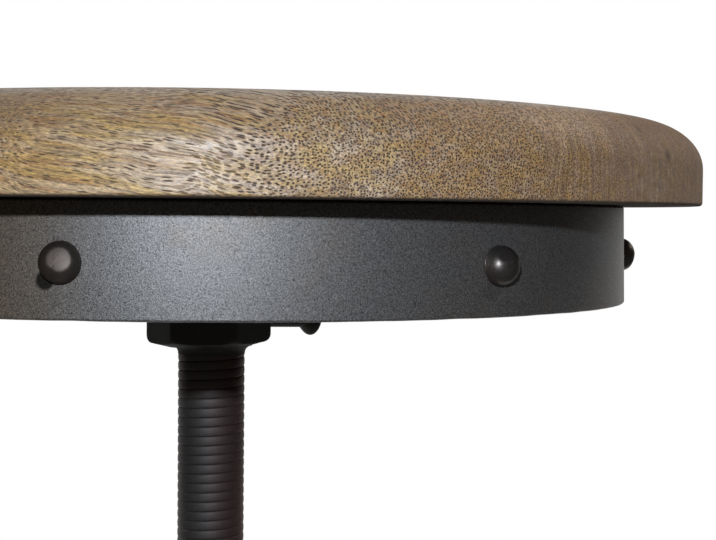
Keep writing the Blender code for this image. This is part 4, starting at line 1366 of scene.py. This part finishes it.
@dataclass
class StrapLegs(SubAssembly):
    """The four bent strap legs, their bolts, the foot ring with its rivets, and the feet."""

    hub_top: float
    hub_bottom: float
    hub_half_width: float
    count: int = 4
    first: float = 45.0
    width: float = 38.0 * MM
    thickness: float = 6.0 * MM
    corner: float = 8.0 * MM
    arris: float = 0.9 * MM
    top_inset: float = 5.0 * MM
    bend_above_hub_end: float = 6.0 * MM
    shoulder_radius: float = 45.0 * MM
    shoulder_angle: float = 62.0
    shoulder_run: float = 45.0 * MM
    knee_radius: float = 95.0 * MM
    slope: float = 9.0
    foot_radius: float = 16.0 * MM
    foot_length: float = 34.0 * MM
    bolt_end: float = 13.0 * MM
    bolt_spacing: float = 40.0 * MM
    bolt_length: float = 15.3 * MM
    ring_height: float = 210.0 * MM
    ring_width: float = 32.0 * MM
    ring_thickness: float = 6.0 * MM
    ring_edge: float = 1.5 * MM
    ring_relief: float = 0.3933 * MM
    glide_radius: float = 15.0 * MM
    glide_height: float = 8.0 * MM
    glide_edge: float = 1.5 * MM
    stem_radius: float = 4.0 * MM
    stem_in_nut: float = 5.0 * MM
    nut_radius: float = 7.5 * MM
    nut_height: float = 8.5 * MM

    @property
    def top(self) -> float:
        """Height of the legs' upper ends."""
        return self.hub_top - self.top_inset

    @property
    def foot_axis(self) -> float:
        """Height of the strap's middle at the foot."""
        return self.glide_height + GAP + self.thickness / 2

    @staticmethod
    def bend(start: Array, before: float, after: float, radius: float, count: int) -> tuple[Array, Array]:
        """A bend in the strap's middle line, as points and slopes.

        The slope runs evenly from before to after. Each point is the start plus the radius times the
        change in the slope's cosine and sine.

        Args:
            start: Radius and height where the bend starts.
            before: Slope at its start in degrees, outwards from straight down.
            after: Slope at its end in degrees.
            radius: The bend's radius.
            count: Number of points.

        Returns:
            The points and their slopes in radians.
        """
        slope = np.radians(np.linspace(before, after, count))
        side = radius * math.copysign(1.0, after - before)
        across = side * (np.cos(slope[0]) - np.cos(slope))
        down = side * (np.sin(slope) - np.sin(slope[0]))
        return start + np.column_stack((across, -down)), slope

    def bends(self) -> list[tuple[Array, Array]]:
        """The shoulder, the knee and the foot bend, with straight runs between them."""
        axis = self.hub_half_width + GAP + self.thickness / 2
        first = np.array((axis, self.hub_bottom + self.bend_above_hub_end))
        shoulder = self.bend(first, 0.0, self.shoulder_angle, self.shoulder_radius, 26)
        down = math.radians(self.shoulder_angle)
        start = shoulder[0][-1] + self.shoulder_run * np.array((math.sin(down), -math.cos(down)))
        knee = self.bend(start, self.shoulder_angle, self.slope, self.knee_radius, 36)
        slope = math.radians(self.slope)
        drop = knee[0][-1, 1] - self.foot_axis - self.foot_radius * (1.0 - math.sin(slope))
        start = knee[0][-1] + drop * np.array((math.tan(slope), -1.0))
        return [shoulder, knee, self.bend(start, self.slope, 90.0, self.foot_radius, 22)]

    def shin_radius(self, height: float) -> float:
        """Radius of a leg's middle line at a height on its straight shin."""
        start = self.bends()[2][0][0]
        return float(start[0] - (height - start[1]) * math.tan(math.radians(self.slope)))

    @property
    def foot_circle(self) -> float:
        """Radius at which the glides stand."""
        return float(self.bends()[2][0][-1, 0] + self.foot_length / 2)

    def end_rows(self) -> tuple[Array, Array, Array]:
        """Rows near a strap's end: distance from it, half width, and inset of the rounded edge.

        The half width follows a quarter circle of the corner's radius, and the inset a quarter circle
        of the edge's radius.
        """
        quarter = 1.0 - np.cos(np.linspace(0.0, np.pi / 2, 9))
        distance = np.unique(np.round(np.concatenate((self.arris * quarter, self.corner * quarter)), 7))
        short = np.clip(self.corner - distance, 0.0, None)
        half_width = self.width / 2 - self.corner + np.sqrt(self.corner**2 - short**2)
        near = np.clip(self.arris - distance, 0.0, None)
        return distance, half_width, self.arris - np.sqrt(self.arris**2 - near**2)

    def strap(self, azimuth: float) -> Surface:
        """One leg: a rectangle with rounded edges carried along the bent middle line.

        The section's width lies level, square to the leg's azimuth, and its depth square to the middle
        line. Near both ends the rectangle narrows to the rounded corners and then shrinks to a point.
        """
        shoulder, knee, foot = self.bends()
        distance, narrow, inset = self.end_rows()
        upper = np.column_stack((np.full_like(distance, shoulder[0][0, 0]), self.top - distance))
        tip = foot[0][-1] + (self.foot_length, 0.0)
        lower = np.column_stack((tip[0] - distance, np.full_like(distance, tip[1])))[::-1]
        points = np.concatenate((upper[:1], upper, shoulder[0], knee[0], foot[0], lower, lower[-1:]))
        flat = np.full(len(distance) + 1, np.pi / 2)
        slopes = np.concatenate((0.0 * flat, shoulder[1], knee[1], foot[1], flat))
        middle = len(points) - 2 * len(distance) - 2
        full = np.full(middle, self.width / 2)
        half_width = np.concatenate((narrow[:1], narrow, full, narrow[::-1], narrow[:1]))
        inset = np.concatenate((inset[:1], inset, np.zeros(middle), inset[::-1], inset[:1]))
        across, deep = round_section(half_width - inset, self.thickness / 2 - inset, self.arris, 6)
        across[[0, -1]] = 0.0
        deep[[0, -1]] = 0.0
        radius = points[:, :1] + deep * np.cos(slopes)[:, None]
        height = points[:, 1:] + deep * np.sin(slopes)[:, None]
        out = np.array(outward(azimuth))
        level = np.array((-out[1], out[0], 0.0))
        upright = np.array((0.0, 0.0, 1.0))
        return Surface(radius[..., None] * out + across[..., None] * level + height[..., None] * upright)

    def ring(self) -> Surface:
        """The foot ring: a rounded rectangle, tilted to lie along the legs, turned about the axis."""
        slope = math.radians(self.slope)
        depth = self.thickness / 2 + GAP + self.ring_thickness / 2
        middle = np.array((self.shin_radius(self.ring_height), self.ring_height))
        middle = middle - depth * np.array((math.cos(slope), math.sin(slope)))
        across, deep = round_section(
            np.array([self.ring_width / 2]), np.array([self.ring_thickness / 2]), self.ring_edge, 7
        )
        profile = np.column_stack(
            (
                middle[0] + across[0] * math.sin(slope) + deep[0] * math.cos(slope),
                middle[1] - across[0] * math.cos(slope) + deep[0] * math.sin(slope),
            )
        )
        return turned(profile, 288, ring=True)

    def bolts(self) -> Iterator[Piece]:
        """The domed bolts through the legs into the hub."""
        bolt = Fastener(
            head_radius=8.0 * MM,
            head_height=5.5 * MM,
            shank_radius=4.0 * MM,
            grip=self.bolt_length,
            fullness=2.2,
            dent=0.008,
        )
        upper = self.top - self.bolt_end
        drops = (0.0, self.bolt_spacing)
        places = [(azimuth, drop) for azimuth in around(self.count, self.first) for drop in drops]
        for index, (azimuth, drop) in enumerate(places):
            place = outward(azimuth) * (self.hub_half_width + self.thickness + 2 * GAP)
            place.z = upper - drop
            surface = bolt.surface(index + 3).placed(facing(place, outward(azimuth)))
            number = index + 1
            yield Piece(f"domed_leg_bolt_{number}", surface, Slot.RIVET, Body.BASE, f"leg_bolt_{number}")

    def rivets(self) -> Iterator[Piece]:
        """The domed rivets that hold the foot ring to the legs."""
        grip = self.thickness + self.ring_thickness + 3 * GAP + self.ring_relief
        rivet = Fastener(
            head_radius=7.0 * MM,
            head_height=6.5 * MM,
            shank_radius=4.0 * MM,
            grip=grip,
            tail_radius=6.0 * MM,
            tail_height=3.0 * MM,
            fullness=2.2,
            dent=0.02,
        )
        slope = math.radians(self.slope)
        for index, azimuth in enumerate(around(self.count, self.first)):
            out = outward(azimuth)
            square = out * math.cos(slope) + Vector((0.0, 0.0, math.sin(slope)))
            place = out * self.shin_radius(self.ring_height)
            place.z = self.ring_height
            seat = place + square * (self.thickness / 2 + GAP)
            surface = rivet.surface(index + 5).placed(facing(seat, square))
            number = index + 1
            yield Piece(f"domed_ring_rivet_{number}", surface, Slot.RIVET, Body.BASE, f"ring_rivet_{number}")

    def feet(self) -> Iterator[Piece]:
        """The rubber glides under the feet and the domed nuts on their stems."""
        nut_seat = self.foot_axis + self.thickness / 2 + GAP
        stem_top = nut_seat + self.stem_in_nut
        rim, edge = self.glide_radius - self.glide_edge, self.glide_edge
        glide = joined(
            run((0.0, stem_top), (self.stem_radius, stem_top)),
            run((self.stem_radius, stem_top), (self.stem_radius, self.glide_height), 3),
            run((self.stem_radius, self.glide_height), (rim, self.glide_height), 4),
            arc((rim, self.glide_height - edge), (edge, edge), 90, 0, 7),
            arc((rim, edge), (edge, edge), 0, -90, 7),
            run((rim, 0.0), (0.0, 0.0), 4),
        )
        bore, depth = self.stem_radius + GAP, self.stem_in_nut + GAP
        nut = joined(
            dome(self.nut_radius, self.nut_height, 2.2, 20),
            run((self.nut_radius, 0.0), (bore, 0.0)),
            run((bore, 0.0), (bore, depth), 3),
            run((bore, depth), (0.0, depth)),
        )
        for index, azimuth in enumerate(around(self.count, self.first)):
            place = outward(azimuth) * self.foot_circle
            under = turned(glide, 64).placed(Matrix.Translation(place))
            yield Piece(f"rubber_glide_{index + 1}", under, Slot.RUBBER, Body.BASE, f"glide_{index + 1}")
            place.z = nut_seat
            over = turned(nut, 48).placed(Matrix.Translation(place))
            yield Piece(f"domed_glide_nut_{index + 1}", over, Slot.RIVET, Body.BASE, f"glide_nut_{index + 1}")

    def pieces(self) -> Iterator[Piece]:
        """The legs with their bolts, the foot ring with its rivets, and the feet."""
        for number, azimuth in enumerate(around(self.count, self.first), 1):
            leg = self.strap(azimuth)
            yield Piece(f"bent_strap_leg_{number}", leg, Slot.LEG, Body.BASE, f"leg_{number}")
        yield Piece("flat_foot_ring", self.ring(), Slot.LEG, Body.BASE, "foot_ring")
        yield from self.bolts()
        yield from self.rivets()
        yield from self.feet()


# Camera, light and floor


@dataclass
class Studio:
    """The camera at the photograph's place, the lamps, the white surroundings and the floor."""

    lens: float = 80.05
    camera_place: tuple[float, float, float] = (0.0, -0.6012, 0.6705982)
    yaw: float = 5.2427
    pitch: float = -1.9517
    roll: float = 0.5162
    flash_place: tuple[float, float, float] = (-0.022, -0.602, 0.7565)
    flash_size: float = 0.014
    flash_power: float = 1.7
    flash_color: Color = (0.91, 1.0, 1.13)
    aim: tuple[float, float, float] = (0.0, 0.0, 0.66)
    side_azimuth: float = 118.0
    side_distance: float = 1.2
    side_rise: float = 0.85
    side_size: float = 0.8
    side_power: float = 6.2
    side_color: Color = (1.13, 1.0, 0.85)
    upper_place: tuple[float, float, float] = (0.0, 0.25, 2.2)
    upper_size: float = 1.0
    upper_power: float = 2.0
    ambient: float = 0.07
    floor_radius: float = 1.5
    floor_clear: float = 0.35
    floor_color: Color = (0.8, 0.8, 0.8)
    floor_white: float = 0.6
    screen_radius: float = 2.6
    screen_azimuth: float = 128.0
    screen_rise: Point = (-85.0, 70.0)
    screen_color: Color = (0.05, 0.0475, 0.044)

    def camera(self) -> None:
        """Adds the camera, turned by yaw, pitch and roll."""
        yaw, pitch, roll = (math.radians(angle) for angle in (self.yaw, self.pitch, self.roll))
        ahead = Vector((math.sin(yaw) * math.cos(pitch), math.cos(yaw) * math.cos(pitch), math.sin(pitch)))
        level = Vector((math.cos(yaw), -math.sin(yaw), 0.0))
        upright = level.cross(ahead)
        right = math.cos(roll) * level + math.sin(roll) * upright
        up = math.cos(roll) * upright - math.sin(roll) * level
        data = bpy.data.cameras.new("stool_camera")
        data.sensor_fit = "HORIZONTAL"
        data.sensor_width = 36.0
        data.lens = self.lens
        data.clip_start = 0.01
        camera = bpy.data.objects.new("stool_camera", data)
        turn = Matrix((right, up, -ahead)).transposed().to_4x4()
        camera.matrix_world = Matrix.Translation(self.camera_place) @ turn
        bpy.context.scene.collection.objects.link(camera)
        bpy.context.scene.camera = camera

    def lamp(
        self,
        name: str,
        place: Vector,
        target: Vector,
        size: Point,
        power: float,
        color: Color = (1.0, 1.0, 1.0),
    ) -> None:
        """Adds a rectangular soft lamp.

        Args:
            name: The lamp's name.
            place: Where it stands.
            target: The point that it faces.
            size: Width and height.
            power: Power in watts.
            color: Colour of its light.
        """
        data = bpy.data.lights.new(name, "AREA")
        data.shape = "RECTANGLE"
        data.size, data.size_y = size
        data.energy = power
        data.color = color
        lamp = bpy.data.objects.new(name, data)
        turn = (place - target).to_track_quat("Z", "Y").to_matrix().to_4x4()
        lamp.matrix_world = Matrix.Translation(place) @ turn
        bpy.context.scene.collection.objects.link(lamp)

    def lamps(self) -> None:
        """Adds the lamp beside the camera and the soft lamps at the sides and above."""
        aim = Vector(self.aim)
        flash = (self.flash_size, self.flash_size)
        self.lamp("front_lamp", Vector(self.flash_place), aim, flash, self.flash_power, self.flash_color)
        rise = Vector((0.0, 0.0, self.side_rise))
        side = (self.side_size, self.side_size)
        for name, azimuth in (("right_lamp", self.side_azimuth), ("left_lamp", -self.side_azimuth)):
            place = aim + outward(azimuth) * self.side_distance + rise
            self.lamp(name, place, aim, side, self.side_power, self.side_color)
        upper = (self.upper_size, self.upper_size)
        self.lamp("upper_lamp", Vector(self.upper_place), aim, upper, self.upper_power)

    def world(self) -> None:
        """Makes the surroundings white to the camera, to gloss and to glass, and dim as a lamp."""
        world = bpy.data.worlds.new("white_surroundings")
        world.use_nodes = True
        shader = Shader(world.node_tree)
        path = shader.node("ShaderNodeLightPath")
        seen = [Signal(shader, path.outputs[f"Is {ray} Ray"]) for ray in ("Camera", "Glossy", "Transmission")]
        dim = shader.take("ShaderNodeBackground", None, {"Color": (1.0, 1.0, 1.0), "Strength": self.ambient})
        white = shader.take("ShaderNodeBackground", None, {"Color": (1.0, 1.0, 1.0), "Strength": 1.0})
        either = seen[0].at_least(seen[1]).at_least(seen[2])
        mixed = shader.take("ShaderNodeMixShader", None, {0: either, 1: dim, 2: white})
        shader.node("ShaderNodeOutputWorld", None, {0: mixed})
        bpy.context.scene.world = world

    def stage_piece(self, name: str, grid: Array) -> tuple[bpy.types.Object, Shader]:
        """Adds a sheet that belongs to the studio, with an empty material.

        Args:
            name: The name of the sheet and of its material.
            grid: A grid of points.

        Returns:
            The sheet and its material's node tree.
        """
        rows, columns, _ = grid.shape
        quads = grid_quads(np.arange(rows * columns).reshape(rows, columns))
        mesh = bpy.data.meshes.new(name)
        mesh.from_pydata(grid.reshape(-1, 3).tolist(), [], quads.tolist())
        sheet = bpy.data.objects.new(name, mesh)
        bpy.context.scene.collection.objects.link(sheet)
        material = bpy.data.materials.new(name)
        material.use_nodes = True
        mesh.materials.append(material)
        return sheet, Shader(material.node_tree)

    def floor(self) -> None:
        """Adds the pale floor, a disc that keeps the shadow and fades out towards its rim."""
        radius = np.linspace(0.001, self.floor_radius, 24)[:, None]
        angle = np.linspace(0.0, 2.0 * np.pi, 97)[None, :]
        height = 0.0 * radius * angle - GAP
        grid = np.stack((radius * np.sin(angle), -radius * np.cos(angle), height), axis=-1)
        sheet, shader = self.stage_piece("pale_floor", grid)
        sheet.visible_glossy = False
        position = shader.position()
        path = shader.node("ShaderNodeLightPath")
        seen = Signal(shader, path.outputs["Is Camera Ray"])
        matt = shader.take("ShaderNodeBsdfDiffuse", None, {"Color": self.floor_color})
        white = shader.take("ShaderNodeEmission", None, {"Color": (1.0, 1.0, 1.0), "Strength": 1.0})
        clear = shader.take("ShaderNodeBsdfTransparent")
        pale = shader.take("ShaderNodeMixShader", None, {0: seen * self.floor_white, 1: matt, 2: white})
        length = shader.take("ShaderNodeVectorMath", {"operation": "LENGTH"}, {0: position}, "Value")
        fade = length.ramp(self.floor_clear, self.floor_radius)
        faded = shader.take("ShaderNodeMixShader", None, {0: fade, 1: pale, 2: clear})
        shader.node("ShaderNodeOutputMaterial", None, {0: faded})

    def screen(self) -> None:
        """Adds the dark screen behind the camera, which only gloss sees, so that metal has contrast."""
        azimuth = np.radians(np.linspace(-self.screen_azimuth, self.screen_azimuth, 53))[None, :]
        rise = np.radians(np.linspace(*self.screen_rise, 32))[:, None]
        side, ahead = np.cos(rise) * np.sin(azimuth), -np.cos(rise) * np.cos(azimuth)
        grid = self.screen_radius * np.stack((side, ahead, np.sin(rise) + 0.0 * azimuth), axis=-1)
        sheet, shader = self.stage_piece("dark_screen", grid)
        glow = shader.take("ShaderNodeEmission", None, {"Color": self.screen_color, "Strength": 1.0})
        shader.node("ShaderNodeOutputMaterial", None, {0: glow})
        sheet.visible_camera = False
        sheet.visible_diffuse = False
        sheet.visible_transmission = False
        sheet.visible_shadow = False

    def build(self) -> None:
        """Adds everything round the stool."""
        self.camera()
        self.lamps()
        self.world()
        self.floor()
        self.screen()
        bpy.context.scene.view_settings.view_transform = "Standard"
        LOG.info("studio: camera, lamps, floor and white surroundings")


def finishes() -> list[Finish]:
    """The stool's finishes, one for each slot."""
    return [
        OiledWood(
            knots=(
                Scuff(Vector((143.2, -108.6, 690.6)), radius=3.4, depth=0.5, softness=0.9),
                Scuff(Vector((131.5, -115.5, 698.3)), radius=2.6, depth=0.35, softness=0.9),
            )
        ),
        CoatedSteel(
            Slot.BAND,
            (0.203, 0.194, 0.186),
            (0.215, 0.168, 0.122),
            grain=0.47 * MM,
            relief=0.065 * MM,
            contrast=1.25,
            metallic=0.73,
            roughness=0.53,
            stained=0.5,
            # Painted shadows: dark spots below and to the left of the first two rivets.
            scuffs_and_shadows=(
                Scuff(mark(-17.9, 152.7 * MM, 651.6 * MM), radius=3.0 * MM, depth=0.85),
                Scuff(mark(33.3, 152.7 * MM, 649.0 * MM), radius=3.6 * MM, depth=0.3),
            ),
        ),
        CoatedSteel(
            Slot.RIVET,
            (0.13, 0.117, 0.107),
            (0.14, 0.1, 0.078),
            relief=0.012 * MM,
            metallic=0.85,
            roughness=0.38,
            edge_tint=0.55,
            scuffs_and_shadows=(
                Scuff(mark(-16.1, 157.0 * MM, 656.7 * MM), radius=9.0 * MM, depth=0.24, softness=0.3),
            ),
        ),
        CoatedSteel(Slot.BLACK, (0.045, 0.044, 0.041), (0.048, 0.042, 0.036), metallic=0.3, roughness=0.8),
        CoatedSteel(
            Slot.THREAD,
            (0.118, 0.107, 0.101),
            (0.125, 0.08, 0.073),
            metallic=0.8,
            roughness=0.62,
            stained=1.0,
            worn_azimuth=60.0,
            worn_from=2.0 * MM,
            worn_full=14.0 * MM,
        ),
        CoatedSteel(
            Slot.LEG,
            (0.17, 0.167, 0.165),
            (0.16, 0.142, 0.128),
            contrast=0.4,
            metallic=0.85,
            roughness=0.55,
        ),
        BareZinc(),
        BlackRubber(),
    ]


def main() -> None:
    """Builds the studio and the stool's sub-assemblies in order."""
    logging.basicConfig(level=logging.INFO, format="%(message)s")
    palette = Palette(finishes())
    Studio().build()
    seat = WoodenSeat()
    band = RivetedBand(seat.underside)
    mount = SeatMount(band.pan_underside, band.pan_rim_inner, seat.underside)
    spindle_low, spindle_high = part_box("spindle")
    spindle = ScrewSpindle(spindle_high[2], spindle_low[2])
    hub = HubBlock(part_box("hub")[1][2])
    legs = StrapLegs(hub.top, hub.bottom, hub.half_width)
    for group in (seat, band, mount, spindle, hub, legs):
        group.build(palette)
        LOG.info("%s: done", type(group).__name__)


if __name__ == "__main__":
    main()
